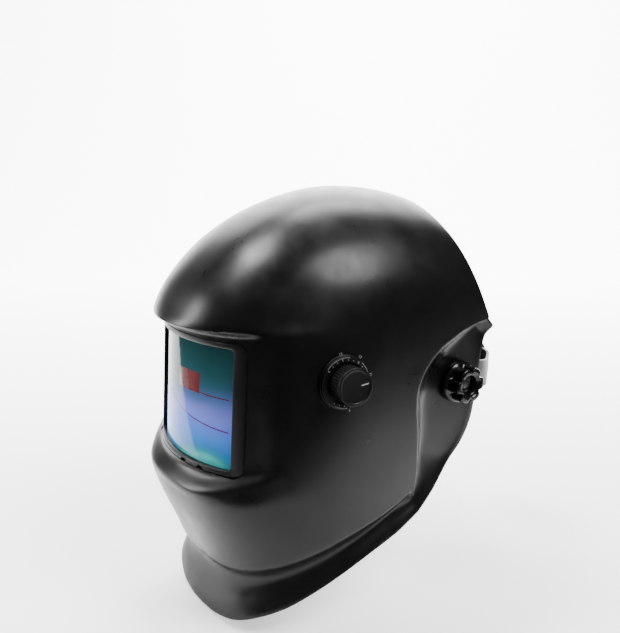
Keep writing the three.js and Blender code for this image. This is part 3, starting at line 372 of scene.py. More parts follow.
def build_weave_group():
    """Looped terry cloth: small loops in rows, with soft lint between them, and painted shade: the colour is
    lighter on the loop tops and darker in the gaps between loops.
    """
    group, given, out = new_group(
        "terry_loops",
        [("Loop Scale", "NodeSocketFloat", 900.0), ("Colour", "NodeSocketColor", (0.1, 0.1, 0.1, 1))],
        [("Normal", "NodeSocketVector"), ("Colour", "NodeSocketColor")])
    place = object_place(group)
    cells = add_node(group, "ShaderNodeTexVoronoi", {"Vector": place, "Scale": given.outputs["Loop Scale"]})
    lint = noise(group, place, 2600.0, 3.0, 0.7)
    height = calculate(group, "ADD", calculate(group, "MULTIPLY", cells.outputs["Distance"], -1.0), lint)
    bump = add_node(group, "ShaderNodeBump", {"Strength": 0.7, "Distance": 0.0006, "Height": height})
    group.links.new(bump.outputs["Normal"], out.inputs["Normal"])
    # painted shade: the colour is scaled from 1.35 on the loop tops down to 0.55 in the gaps between loops
    loop_shade = remap(group, cells.outputs["Distance"], 0.0, 0.8, 1.35, 0.55)
    loop_shaded = add_node(group, "ShaderNodeVectorMath", {0: given.outputs["Colour"]}, operation="SCALE")
    group.links.new(loop_shade, loop_shaded.inputs["Scale"])
    group.links.new(loop_shaded.outputs["Vector"], out.inputs["Colour"])
    return group


GRAIN = build_grain_group()
VARIATION = build_variation_group()
LOOPS = build_weave_group()


# ------------------------------------------------------------------ finishes
def use_group(tree, group, **values):
    node = tree.nodes.new("ShaderNodeGroup")
    node.node_tree = group
    for key, value in values.items():
        node.inputs[key.replace("_", " ")].default_value = value
    return node


def empty_finish(name, **sockets):
    finish = bpy.data.materials.new(name)
    finish.use_nodes = True
    surface = finish.node_tree.nodes["Principled BSDF"]
    for key, value in sockets.items():
        surface.inputs[key.replace("_", " ")].default_value = value
    return finish, finish.node_tree, surface


def grained(name, colour, roughness, spread=0.12, roughness_spread=0.06, grain_scale=1800.0, grain_height=0.1,
            wave_height=0.0, dust=0.008, **sockets):
    """A moulded or plated finish: drifting colour and roughness over a fine grain."""
    sockets.setdefault("Specular_IOR_Level", 0.22)
    finish, tree, surface = empty_finish(name, **sockets)
    vary = use_group(tree, VARIATION, Colour=(*colour, 1), Spread=spread, Roughness=roughness,
                     Roughness_Spread=roughness_spread, Dust=dust)
    grain = use_group(tree, GRAIN, Grain_Scale=grain_scale, Grain_Height=grain_height,
                      Wave_Height=wave_height)
    tree.links.new(vary.outputs["Colour"], surface.inputs["Base Color"])
    polished = calculate(tree, "MULTIPLY", grain.outputs["Handling"], -0.05)
    tree.links.new(calculate(tree, "ADD", vary.outputs["Roughness"], polished), surface.inputs["Roughness"])
    tree.links.new(grain.outputs["Normal"], surface.inputs["Normal"])
    return finish


def terry(name, colour):
    finish, tree, surface = empty_finish(name, Roughness=0.95, Sheen_Weight=0.5, Sheen_Roughness=0.5)
    loops = use_group(tree, LOOPS, Colour=(*colour, 1))
    tree.links.new(loops.outputs["Colour"], surface.inputs["Base Color"])
    tree.links.new(loops.outputs["Normal"], surface.inputs["Normal"])
    return finish


FILM_BANDS = (
    (0.00, (0.06, 0.46, 0.44)), (0.05, (0.015, 0.20, 0.26)), (0.13, (0.03, 0.16, 0.52)),
    (0.23, (0.05, 0.20, 0.62)), (0.33, (0.10, 0.17, 0.70)), (0.43, (0.17, 0.19, 0.66)),
    (0.52, (0.06, 0.11, 0.28)), (0.64, (0.02, 0.08, 0.10)), (0.82, (0.012, 0.055, 0.06)),
    (1.00, (0.008, 0.03, 0.035)))


def mirror_film(name):
    """The cover lens: a mirror film whose colour runs in curved bands up the window."""
    finish, tree, surface = empty_finish(name, Roughness=0.07, IOR=1.5, Coat_Weight=0.05, Coat_Roughness=0.03,
                                         Specular_IOR_Level=0.12)
    parts = add_node(tree, "ShaderNodeSeparateXYZ", {0: object_place(tree)})
    low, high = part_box("front_cover_lens")
    across = remap(tree, parts.outputs["X"], low.x, high.x, -1.0, 1.0)
    height = remap(tree, parts.outputs["Z"], low.z, high.z, 0.0, 1.0)
    bow = calculate(tree, "MULTIPLY", calculate(tree, "MULTIPLY", across, across), 0.10)
    slant = calculate(tree, "MULTIPLY", across, -0.10)
    drift = remap(tree, noise(tree, object_place(tree), 22.0, 1.0), 0.3, 0.7, -0.05, 0.05)
    band = calculate(tree, "ADD", calculate(tree, "ADD", height, bow), calculate(tree, "ADD", slant, drift))
    ramp = add_node(tree, "ShaderNodeValToRGB", {"Fac": band})
    ramp.color_ramp.interpolation = "B_SPLINE"
    stops = ramp.color_ramp.elements
    while len(stops) < len(FILM_BANDS):
        stops.new(0.5)
    for stop, (at, colour) in zip(stops, FILM_BANDS):
        stop.position = at
        stop.color = (*colour, 1)
    tree.links.new(ramp.outputs["Color"], surface.inputs["Base Color"])
    smear = remap(tree, noise(tree, object_place(tree), 90.0, 5.0, 0.65), 0.35, 0.75, 0.04, 0.12)
    tree.links.new(smear, surface.inputs["Roughness"])
    return finish


def brushed(name, colour, roughness):
    """Plated steel with fine turning marks."""
    finish, tree, surface = empty_finish(name, Metallic=1.0)
    stretched = add_node(tree, "ShaderNodeMapping",
                         {"Vector": object_place(tree), "Scale": (200.0, 3000.0, 3000.0)})
    lines = noise(tree, stretched.outputs["Vector"], 1.0, 3.0, 0.6)
    vary = use_group(tree, VARIATION, Colour=(*colour, 1), Spread=0.1, Roughness=roughness,
                     Roughness_Spread=0.08, Dust=0.0)
    tree.links.new(vary.outputs["Colour"], surface.inputs["Base Color"])
    tree.links.new(vary.outputs["Roughness"], surface.inputs["Roughness"])
    bump = add_node(tree, "ShaderNodeBump", {"Strength": 0.15, "Distance": 0.0001, "Height": lines})
    tree.links.new(bump.outputs["Normal"], surface.inputs["Normal"])
    return finish


def solar_finish(name):
    """Dark cells parted by thin bright lines."""
    finish, tree, surface = empty_finish(name, Roughness=0.2, Coat_Weight=0.6)
    parts = add_node(tree, "ShaderNodeSeparateXYZ", {0: object_place(tree)})
    step = calculate(tree, "FRACT", calculate(tree, "MULTIPLY", parts.outputs["X"], 130.0))
    line = calculate(tree, "LESS_THAN", step, 0.06)
    cloudy = noise(tree, object_place(tree), 120.0, 3.0)
    cells = mix_colour(tree, cloudy, (0.02, 0.01, 0.07, 1), (0.05, 0.02, 0.1, 1))
    tree.links.new(mix_colour(tree, line, cells, (0.35, 0.3, 0.4, 1)), surface.inputs["Base Color"])
    return finish


FINISHES = {
    "shell_plastic": grained("satin_black_shell", (0.0032, 0.0031, 0.0031), 0.34, spread=0.1,
                             grain_scale=2400.0, grain_height=0.02, dust=0.0, Specular_IOR_Level=0.2),
    "frame_plastic": grained("window_frame_plastic", (0.0022, 0.0022, 0.0023), 0.42, grain_height=0.08),
    "lens_film": mirror_film("mirror_film"),
    "filter_glass": grained("filter_glass", (0.01, 0.05, 0.055), 0.06, grain_height=0.0, Coat_Weight=1.0),
    "clear_lens": grained("clear_cover", (0.75, 0.85, 0.86), 0.05, spread=0.02, grain_height=0.0, dust=0.1,
                          Transmission_Weight=0.85, IOR=1.49),
    "cartridge_plastic": grained("cartridge_plastic", (0.005, 0.005, 0.006), 0.5, grain_scale=1500.0,
                                 grain_height=0.22),
    "sensor_window": grained("sensor_window", (0.08, 0.004, 0.012), 0.1, grain_height=0.0, Coat_Weight=1.0),
    "solar_cell": solar_finish("solar_cells"),
    "control_plastic": grained("control_plastic", (0.05, 0.05, 0.053), 0.4, grain_height=0.12),
    "dial_plastic": grained("dial_plastic", (0.0035, 0.0035, 0.0037), 0.4, grain_height=0.08),
    "knob_plastic": grained("glossy_knob", (0.002, 0.002, 0.0022), 0.24, roughness_spread=0.05,
                            grain_height=0.03, Coat_Weight=0.06, Coat_Roughness=0.12),
    "washer_rubber": grained("washer_rubber", (0.004, 0.004, 0.004), 0.75, grain_height=0.25),
    "bush_plastic": grained("bush_plastic", (0.12, 0.13, 0.14), 0.45, grain_height=0.08),
    "plated_steel": brushed("plated_steel", (0.48, 0.48, 0.47), 0.28),
    "harness_plastic": grained("harness_plastic", (0.008, 0.008, 0.009), 0.48, grain_scale=1400.0,
                               grain_height=0.2),
    "arm_plastic": grained("arm_plastic", (0.06, 0.062, 0.065), 0.42, grain_height=0.12),
    "pinion_plastic": grained("pinion_plastic", (0.6, 0.6, 0.56), 0.4, spread=0.05, grain_height=0.05),
    "lead_rubber": grained("lead_rubber", (0.01, 0.01, 0.01), 0.55, grain_height=0.2),
    "sweat_fabric": terry("terry_cloth", (0.035, 0.035, 0.038)),
}
# dark steel, colour 0.06, for the pivot nuts and bolts, which sit in the knobs' centre recesses and keep those
# recesses dark
DARK_STEEL = brushed("dark_steel", (0.06, 0.06, 0.062), 0.4)
WHITE_PRINT = grained("white_print", (0.3, 0.3, 0.3), 0.5, spread=0.2, grain_height=0.1)
RED_LABEL = grained("red_label", (0.11, 0.005, 0.009), 0.25, spread=0.15, grain_height=0.03, Coat_Weight=0.6)


# ------------------------------------------------------------------ the shell's surface, in millimetres
WALL = 2.6
CHEEK_HALF_WIDTH = 101
EAR_HALF_WIDTH = 96.5
PIVOT_FACE_X = 91
SHELL_FRONT_Y = -195
PANEL_RADIUS = 118
PANEL_LEAN = 0.06
CHIN_LIP_Y, CHIN_LIP_Z = -181, -176
CROWN_Z = 148
SECTION_Y = 55
WINDOW_HALF_WIDTH, WINDOW_TOP, WINDOW_FOOT, WINDOW_CORNER = 65, 49, -48, 7
HOOD_REACH, HOOD_Z, HOOD_HALF_WIDTH, HOOD_HEIGHT = 13, 58, 75, 62
LEDGE_REACH, LEDGE_Z, LEDGE_TIP_RISE, LEDGE_HALF_WIDTH, LEDGE_HEIGHT = 11, -66, 23, 86, 70
CREASE_END, REAR_END = -39.2, 60.1
FLAT_PART = 0.86

front_reach = curve_through(polar_pairs([
    (-181, -131), (-188, -100), (SHELL_FRONT_Y + 1, -66), (SHELL_FRONT_Y - 1, -30),
    (SHELL_FRONT_Y + 1, 10),
    (SHELL_FRONT_Y + 5, 45), (-184, 70), (-174, 92), (-158, 112), (-134, 128),
    (-104, CROWN_Z - 8), (-66, CROWN_Z), (-30, CROWN_Z - 1), (2, CROWN_Z - 8)]))
side_reach = curve_through([
    (-40, 134), (-25, 122), (-8, 116), (10, 112), (25, 98), (40, 80), (52, 64), (60, 54), (70, 52)])
half_width_at = curve_through([
    (-40, CHEEK_HALF_WIDTH - 2), (-20, CHEEK_HALF_WIDTH + 1), (15, CHEEK_HALF_WIDTH + 1),
    (38, CHEEK_HALF_WIDTH - 1), (60, EAR_HALF_WIDTH), (70, EAR_HALF_WIDTH - 2)])
fullness = curve_through([(-38, 2.4), (-26, 2.8), (-8, 3.1), (12, 2.9), (24, 2.5), (42, 2.2), (69, 2.1)])
ridge_reach = curve_through(polar_pairs([
    (-48, -84), (-46, -60), (-47, -30), (-49, -8), (-47, 6),
    (-39, 19), (-25, 31), (-9, 38), (12, 45), (28, 47)]))
crease_angle = curve_through([(0, -29), (0.35, -29.6), (0.6, -31.5), (0.8, -35.5), (1, CREASE_END)])
rear_angle = curve_through([(0, 69), (0.5, 66.5), (1, REAR_END)])


def body_point(angle, t):
    """The smooth body: t runs from -1 at the right ridge to 1 at the left one."""
    a = abs(t)
    turn = math.radians(angle)
    width = half_width_at(angle)
    ridge = ridge_reach(angle)
    inner = max(side_reach(angle), ridge + 0.5)
    if a < FLAT_PART:
        psi = a / FLAT_PART * math.pi / 2
        c, s, n = math.cos(psi), math.sin(psi), fullness(angle)
        k = (c ** n + s ** n) ** (-1 / n)
        x, reach = width * k * s, inner + (front_reach(angle) - inner) * k * c
    else:
        x, reach = width, lerp(inner, ridge, (a - FLAT_PART) / (1 - FLAT_PART))
    return Vector((math.copysign(x, t), SECTION_Y - reach * math.cos(turn), reach * math.sin(turn)))


def panel_y(x, z):
    limit = 0.8 * PANEL_RADIUS ** 2
    return SHELL_FRONT_Y + PANEL_RADIUS - math.sqrt(PANEL_RADIUS ** 2 - min(x * x, limit)) + PANEL_LEAN * z


def hood_lip(x):
    return HOOD_Z + 1.5 * min(1, (x / HOOD_HALF_WIDTH) ** 2)


def ledge_lip(x):
    return LEDGE_Z + LEDGE_TIP_RISE * min(1, abs(x) / LEDGE_HALF_WIDTH) ** 2.2


def shelf_rise(x):
    return lerp(WINDOW_FOOT - 2 - LEDGE_Z, 7, min(1, (x / LEDGE_HALF_WIDTH) ** 2))


def crescent(x, half, power):
    return max(0, 1 - (abs(x) / half) ** 2) ** power


def surface_point(angle, t):
    """The outer surface: the body, flattened to the window panel, with the hood and the ledge on it."""
    p = body_point(angle, t)
    lip, brow = ledge_lip(p.x), hood_lip(p.x)
    hood = (HOOD_REACH * crescent(p.x, HOOD_HALF_WIDTH, 0.7) * smooth((p.z - (brow - 6)) / 6)
            * (1 - smooth((p.z - brow) / HOOD_HEIGHT)))
    ledge = (LEDGE_REACH * crescent(p.x, LEDGE_HALF_WIDTH, 0.5)
             * (1 - smooth((p.z - lip) / shelf_rise(p.x))) * (1 - smooth((lip - p.z) / LEDGE_HEIGHT)))
    in_panel = (smooth((96 - abs(p.x)) / 26) * smooth((p.z - (WINDOW_FOOT - 22)) / 16)
                * smooth((WINDOW_TOP + 16 - p.z) / 10))
    y = lerp(p.y, panel_y(p.x, p.z), in_panel)
    outward = Vector((p.x * 0.6, y - SECTION_Y * 0.2)).normalized() * (hood + ledge)
    return Vector((p.x + outward.x, y + outward.y, p.z))


def angle_at_height(t, height_of):
    angle = 0
    for _ in range(6):
        p = body_point(angle, t)
        angle = math.degrees(math.asin(height_of(p.x) / math.hypot(p.y - SECTION_Y, p.z)))
    return angle


RIDGE_ROWS = (-22, -15, 22, 29)


def row_angles(t, splits):
    """Rows from the crease to the rear edge: they follow the lips in front, and fixed angles at the ridge."""
    a = abs(t)
    near, spread = min(a, 0.75), smooth((a - 0.6) / 0.4)
    heights = (ledge_lip, lambda x: ledge_lip(x) + 0.9 * shelf_rise(x), lambda x: hood_lip(x) - 7, hood_lip)
    lips = [angle_at_height(near, height_of) for height_of in heights]
    between_ends = [lerp(lip, fixed, spread) for lip, fixed in zip(lips, RIDGE_ROWS)]
    stops = [crease_angle(a), *between_ends, rear_angle(a)]
    angles = []
    for low, high, count in zip(stops, stops[1:], splits):
        angles += [lerp(low, high, k / count) for k in range(count)]
    return angles + [stops[-1]]


def axes_of(rows):
    return [curve_through([(row[0], row[k]) for row in rows]) for k in (1, 2, 3)]


EAR_EDGE = axes_of([
    (-39.2, 99, -43, -96), (-35, 98, -26, -82), (-28, 96, -8, -66), (-18, 94.5, 8, -51), (-8, 93.5, 17, -36),
    (2, 93, 21, -21), (13, 93, 23, -7), (24, 93, 25, 8), (36, 94, 26.5, 22), (50, 95.5, 29, 34),
    (60.1, 96.8, 33, 41)])
CHIN_EDGE = axes_of([
    (0, 0, CHIN_LIP_Y, CHIN_LIP_Z), (0.12, 20, CHIN_LIP_Y + 0.5, CHIN_LIP_Z + 1.5),
    (0.26, 42, CHIN_LIP_Y + 4, CHIN_LIP_Z + 6), (0.4, 62, CHIN_LIP_Y + 13, CHIN_LIP_Z + 15),
    (0.54, 77, -151, -151.5), (0.68, 89, -126, -136.5), (0.82, 97, -95, -119.5), (0.93, 99.5, -65, -107),
    (1, 99, -43, -96)])
trough_depth = curve_through([(0, 9.5), (0.3, 9), (0.55, 7.5), (0.8, 6), (1, 5)])
chin_trough = curve_through([(0, 0), (0.1, 0.6), (0.26, 1), (0.5, 0.8), (0.8, 0.25), (1, 0)])
ear_trough = curve_through([(0, 0), (0.08, 0.5), (0.18, 0.95), (0.28, 1), (0.9, 1), (1, 0.75)])


def flange_point(angle, t, v):
    """The flange: v runs from the body (0) to the shell's free edge (1)."""
    side = math.copysign(1, t)
    start = surface_point(angle, t)
    a = abs(t)
    if a == 1:
        flat = smooth((angle - CREASE_END) / 14)
        end = Vector([f(angle) for f in EAR_EDGE])
        end.x *= side
        p = start.lerp(end, v)
        to_face = max(0, abs(p.x) - PIVOT_FACE_X) * ear_trough(v) * smooth((REAR_END - angle) / 12)
        p.x -= side * lerp(trough_depth(1) * chin_trough(v), to_face, flat)
        return p
    end = Vector([f(a) for f in CHIN_EDGE])
    end.x *= side
    p = start.lerp(end, v)
    inward = (Vector((-p.x * (0.3 + a), 110 * (1 - a) ** 0.7)).normalized()
              * trough_depth(a) * chin_trough(v))
    return Vector((p.x + inward.x, p.y + inward.y, p.z))


# ------------------------------------------------------------------ the shell as a mesh
COLUMNS = 72
ROW_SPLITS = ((34, 12, 36, 8, 52))
FLANGE_STEPS = 18
RIM_STEPS = 4


def shell_sheet():
    """The outer sheet's points and faces, and its free edge as a closed run of point numbers."""
    stops = [k / COLUMNS for k in range(-COLUMNS, COLUMNS + 1)]
    columns = [row_angles(t, ROW_SPLITS) for t in stops]
    rows = len(columns[0])
    points, faces = [], []
    for t, angles in zip(stops, columns):
        points += [surface_point(angle, t) for angle in angles]
    for c in range(len(stops) - 1):
        for r in range(rows - 1):
            a = c * rows + r
            faces.append((a, a + rows, a + rows + 1, a + 1))
    last = (len(stops) - 1) * rows
    border = [(r, (columns[0][r], -1)) for r in range(rows - 1, -1, -1)]
    border += [(c * rows, (columns[c][0], stops[c])) for c in range(1, len(stops) - 1)]
    border += [(last + r, (columns[-1][r], 1)) for r in range(rows)]
    runs = [[number for number, _ in border]]
    for k in range(1, FLANGE_STEPS + 1):
        v = (k / FLANGE_STEPS) ** 1.15
        run = []
        for _, (angle, t) in border:
            run.append(len(points))
            points.append(flange_point(angle, t, v))
        runs.append(run)
    for inner, outer in zip(runs, runs[1:]):
        for k in range(len(border) - 1):
            faces.append((inner[k], outer[k], outer[k + 1], inner[k + 1]))
    rear = [c * rows + rows - 1 for c in range(1, len(stops) - 1)]
    edge = runs[-1] + [run[-1] for run in runs[-2:0:-1]] + [last + rows - 1]
    edge += rear[::-1] + [rows - 1] + [run[0] for run in runs[1:-1]]
    return np.array([tuple(p) for p in points]), faces, edge, runs


def relax(points, faces, fixed, strength, rounds):
    """Rounds the folds of a sheet: each point moves a share of the way to the middle of its neighbours."""
    pairs = set()
    for face in faces:
        for a, b in zip(face, face[1:] + face[:1]):
            pairs.add((a, b))
            pairs.add((b, a))
    first, second = np.array(sorted(pairs)).T
    count = np.bincount(first, minlength=len(points))[:, None]
    share = (strength * ~fixed)[:, None]
    for _ in range(rounds):
        total = np.zeros_like(points)
        np.add.at(total, first, points[second])
        points = points + share * (total / count - points)
    return points


def sheet_normals(points, faces):
    quads = np.array(faces)
    a, b, c, d = (points[quads[:, k]] for k in range(4))
    crossed = np.cross(c - a, d - b)
    normals = np.zeros_like(points)
    for k in range(4):
        np.add.at(normals, quads[:, k], crossed)
    return normals / np.linalg.norm(normals, axis=1)[:, None]


def thick_shell():
    """The sheet with its wall and a rounded free edge, as a closed body."""
    points, faces, edge, runs = shell_sheet()
    fixed = np.zeros(len(points), bool)
    fixed[edge] = True
    fold = np.full(len(points), 0.12)
    for k, run in enumerate(runs[:7]):
        fold[run] = 0.5
    points = relax(points, faces, fixed, fold, 9)
    normals = sheet_normals(points, faces)
    count = len(points)
    everything = [points, points - normals * WALL]
    all_faces = [*faces, *(tuple(v + count for v in face[::-1]) for face in faces)]
    ring = np.array(edge)
    along_edge = np.roll(points[ring], -1, 0) - np.roll(points[ring], 1, 0)
    outward = np.cross(along_edge, normals[ring])
    outward /= np.linalg.norm(outward, axis=1)[:, None]
    inside = points.mean(0) - points[ring]
    if (outward * inside).sum() > 0:
        outward = -outward
    middle = points[ring] - normals[ring] * WALL / 2
    runs = [ring]
    for k in range(1, RIM_STEPS):
        turn = math.pi * k / RIM_STEPS
        everything.append(middle + (normals[ring] * math.cos(turn) + outward * math.sin(turn)) * WALL / 2)
        runs.append(np.arange(len(ring)) + sum(len(part) for part in everything[:-1]))
    runs.append(ring + count)
    for near, far in zip(runs, runs[1:]):
        for k in range(len(ring)):
            m = (k + 1) % len(ring)
            all_faces.append((int(near[k]), int(near[m]), int(far[m]), int(far[k])))
    return np.vstack(everything), all_faces


def rounded_rectangle(x0, x1, z0, z1, r, steps=8):
    """Points round a rectangle with round corners, from the foot on the x1 side and up that side first."""
    out = []
    corners = ((x1 - r, z0 + r, -90), (x1 - r, z1 - r, 0), (x0 + r, z1 - r, 90), (x0 + r, z0 + r, 180))
    for cx, cz, start in corners:
        for k in range(steps + 1):
            turn = math.radians(start + 90 * k / steps)
            out.append((cx + r * math.cos(turn), cz + r * math.sin(turn)))
    return out


def window_outline(grow):
    return rounded_rectangle(-WINDOW_HALF_WIDTH - grow, WINDOW_HALF_WIDTH + grow, WINDOW_FOOT - grow,
                             WINDOW_TOP + grow, WINDOW_CORNER + grow)


def cheek_place(y, z):
    """The place on the left cheek at a depth and a height, and the outward direction there."""
    low, high = 0.4, 0.86
    for _ in range(24):
        t = (low + high) / 2
        angle = 0
        for _ in range(8):
            p = surface_point(angle, t)
            angle = math.degrees(math.atan2(z, SECTION_Y - p.y))
        if p.y < y:
            low = t
        else:
            high = t
    by_t = surface_point(angle, low + 0.02) - surface_point(angle, low - 0.02)
    by_angle = surface_point(angle + 2, low) - surface_point(angle - 2, low)
    normal = by_t.cross(by_angle).normalized()
    return p, normal if normal.x > 0 else -normal


DIAL_Y, DIAL_Z = -116.5, 22
DIAL_POINT, DIAL_AXIS = cheek_place(DIAL_Y, DIAL_Z)
DIAL = along(DIAL_AXIS, DIAL_POINT)
DIAL_RING_RADIUS = 18.6
DIAL_SEAT = 1.6
BUSH_RADIUS = 4
PIVOT_HOLE_RADIUS = 7
BOSS_RADIUS, BOSS_DEPTH = 19.4, 4.4


def make_shell():
    shell = make_object("helmet_shell_moulding", *thick_shell(), "helmet", "shell_plastic")
    boss_profile = rounded_profile(
        [(0, -BOSS_DEPTH), (BOSS_RADIUS, -BOSS_DEPTH), (BOSS_RADIUS, DIAL_SEAT), (0, DIAL_SEAT)], 0.7)
    boolean(shell, tool_object(*loops_to_mesh(turned(drop_axis(boss_profile), DIAL, 96))), "UNION")
    opening = [[(x, y, z) for x, z in window_outline(GAP)] for y in (-240, -140)]
    boolean(shell, tool_object(*loops_to_mesh(opening)))
    bush_hole = [(BUSH_RADIUS + GAP, -13), (BUSH_RADIUS + GAP, 8)]
    boolean(shell, tool_object(*loops_to_mesh(turned(bush_hole, DIAL, 48))))
    for _, side in SIDES:
        hole = [(PIVOT_HOLE_RADIUS, 80), (PIVOT_HOLE_RADIUS, 112)]
        boolean(shell, tool_object(*loops_to_mesh(turned(hole, along((side, 0, 0)), 64))))
    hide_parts("helmet_shell")
    shade(shell, 38)


def drop_axis(profile):
    """The profile without points on the axis, so that its ends close with flat faces."""
    return [(r, h) for r, h in profile if r > 1e-6]


# ------------------------------------------------------------------ window frame and cover lens
FRAME_DEPTH = 7
BAR_SIDE, BAR_TOP, BAR_FOOT = 10, 4.5, 4
LENS_RECESS = 3.2
NOTCH_PLACES, NOTCH_HALF_WIDTH = (9, 29), 3.4


def sight_outline(grow):
    return rounded_rectangle(-WINDOW_HALF_WIDTH + BAR_SIDE - grow, WINDOW_HALF_WIDTH - BAR_SIDE + grow,
                             WINDOW_FOOT + BAR_FOOT - grow, WINDOW_TOP - BAR_TOP + grow, 3 + max(0, grow))


def on_panel(outline, behind):
    return [(x, panel_y(x, z) + behind, z) for x, z in outline]


def matched(outer, inner, longest=6):
    """Two outlines with the same corners, their long sides split alike so that they can follow the panel."""
    a, b = [], []
    for i in range(len(outer)):
        j = (i + 1) % len(outer)
        pieces = max(1, round(math.dist(outer[i], outer[j]) / longest))
        for k in range(pieces):
            t = k / pieces
            a.append(tuple(lerp(p, q, t) for p, q in zip(outer[i], outer[j])))
            b.append(tuple(lerp(p, q, t) for p, q in zip(inner[i], inner[j])))
    return a, b


def between(a, b, t):
    return [(lerp(p[0], q[0], t), lerp(p[1], q[1], t)) for p, q in zip(a, b)]


def panel_block(x0, x1, z0, z1, front, back):
    """A small block that stands across the panel, from `front` ahead of it to `back` behind it."""
    y = panel_y((x0 + x1) / 2, (z0 + z1) / 2)
    corners = ((x0, y - front), (x1, y - front), (x1, y + back), (x0, y + back))
    return loops_to_mesh([[(x, depth, z) for x, depth in corners] for z in (z0, z1)])


def make_window_frame():
    rim, sight = matched(window_outline(0), sight_outline(0))
    flange, seat = matched(window_outline(4), sight_outline(2.2))
    rounded_face = [on_panel(between(rim, sight, share), behind)
                    for share, behind in ((0.03, 0.3), (0.1, 0.0), (0.86, 0.0), (0.96, 0.35))]
    loops = [on_panel(flange, 4.1), on_panel(rim, 4.1), on_panel(rim, 0.9), *rounded_face,
             on_panel(sight, 1.1), on_panel(sight, LENS_RECESS), on_panel(seat, LENS_RECESS),
             on_panel(seat, FRAME_DEPTH), on_panel(flange, FRAME_DEPTH)]
    obj = make_object("window_frame_moulding", *loops_to_mesh(loops, closed_path=True), "helmet",
                      "frame_plastic")
    for x in NOTCH_PLACES:
        notch = panel_block(x - NOTCH_HALF_WIDTH, x + NOTCH_HALF_WIDTH, WINDOW_FOOT - 2, WINDOW_FOOT + 2.4,
                            2, 1.6)
        boolean(obj, tool_object(*notch))
    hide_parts("window_frame")
    shade(obj, 40)


def curved_slab(half, foot, top, corner, behind, thickness, columns=48, rows=24):
    """A sheet that follows the panel, with round corners: a grid in front, one behind, and a strip between."""
    front, back = [], []
    for c in range(columns + 1):
        x = lerp(-half, half, c / columns)
        room = half - abs(x)
        inset = 0
        if room < corner:
            inset = corner - math.sqrt(max(0, corner ** 2 - (corner - room) ** 2))
        for r in range(rows + 1):
            z = lerp(foot + inset, top - inset, r / rows)
            front.append((x, panel_y(x, z) + behind, z))
            back.append((x, panel_y(x, z) + behind + thickness, z))
    tall = rows + 1
    count = len(front)
    faces = []
    for c in range(columns):
        for r in range(rows):
            a = c * tall + r
            faces.append((a, a + tall, a + tall + 1, a + 1))
            faces.append((a + count, a + count + 1, a + count + tall + 1, a + count + tall))
    border = [c * tall for c in range(columns + 1)] + [columns * tall + r for r in range(1, tall)]
    border += [c * tall + rows for c in range(columns - 1, -1, -1)] + list(range(rows - 1, 0, -1))
    for a, b in zip(border, border[1:] + border[:1]):
        faces.append((a, b, b + count, a + count))
    return front + back, faces


LENS_HALF = WINDOW_HALF_WIDTH - BAR_SIDE
LENS_FOOT, LENS_TOP = WINDOW_FOOT + BAR_FOOT, WINDOW_TOP - BAR_TOP


def make_cover_lens():
    slab = curved_slab(LENS_HALF + 2, LENS_FOOT - 1.8, LENS_TOP + 1.8, 2, LENS_RECESS + GAP, 1.4)
    obj = make_object("cover_lens", *slab, "helmet", "lens_film")
    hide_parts("front_cover_lens")
    shade(obj, 40)


def panel_strip(name, path, width, behind, thickness, finish):
    """A thin printed strip on the cover lens along a path of (x, z) points."""
    loops = []
    for k, (x, z) in enumerate(path):
        ahead, back = path[min(k + 1, len(path) - 1)], path[max(k - 1, 0)]
        along_path = Vector((ahead[0] - back[0], ahead[1] - back[1])).normalized()
        across = Vector((-along_path.y, along_path.x)) * width / 2
        loop = []
        for side, deep in ((-1, 0), (1, 0), (1, thickness), (-1, thickness)):
            px, pz = x + side * across.x, z + side * across.y
            loop.append((px, panel_y(px, pz) + behind + deep, pz))
        loops.append(loop)
    obj = make_object(name, *loops_to_mesh(loops), "helmet", "lens_film")
    obj.data.materials[0] = finish
    return shade(obj, 40)


def make_film_marks():
    """A plain label and two thin curved lines on the film."""
    front = LENS_RECESS + GAP - 0.12
    label_middle, label_height = 14, 15
    label_path = [(x, label_middle) for x in np.linspace(-6, 22, 12)]
    panel_strip("film_label", label_path, label_height, front, 0.1, RED_LABEL)
    for name, start, drop in (("film_line_upper", 16, 9), ("film_line_lower", -2, 15)):
        path = []
        for k in range(25):
            s = k / 24
            path.append((lerp(-30, 50, s), start - drop * s - 3 * math.sin(math.pi * s)))
        panel_strip(name, path, 0.7, front, 0.1, RED_LABEL)


# ------------------------------------------------------------------ shade dial
DIAL_RING_BORE = 14.8
NUMBER_RADIUS, NUMBER_SIZE = 20.6, 2.6


def make_dial():
    foot = DIAL_SEAT + GAP
    ring_top = foot + 1.6
    ring = rounded_profile([(DIAL_RING_BORE, foot), (DIAL_RING_RADIUS, foot), (DIAL_RING_RADIUS, ring_top),
                            (DIAL_RING_BORE, ring_top), (DIAL_RING_BORE, foot)], 0.5)
    loops = turned(ring[:-1], DIAL, 96)
    obj = make_object("dial_ring_moulding", *loops_to_mesh(loops, closed_path=True), "helmet", "dial_plastic")
    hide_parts("dial_ring")
    shade(obj, 40)
    make_dial_marks(ring_top)
    make_shade_knob(foot + 0.3)


def dial_bar(r0, r1, start, end, top, steps=2):
    """A raised printed mark on the dial ring, between two radii and two turns in degrees."""
    loops = []
    for k in range(steps + 1):
        turn = math.radians(lerp(start, end, k / steps))
        loop = []
        for r, h in ((r0, top - 0.05), (r1, top - 0.05), (r1, top + 0.06), (r0, top + 0.06)):
            loop.append(DIAL @ Vector((r * math.cos(turn), r * math.sin(turn), h)))
        loops.append(loop)
    return loops_to_mesh(loops)


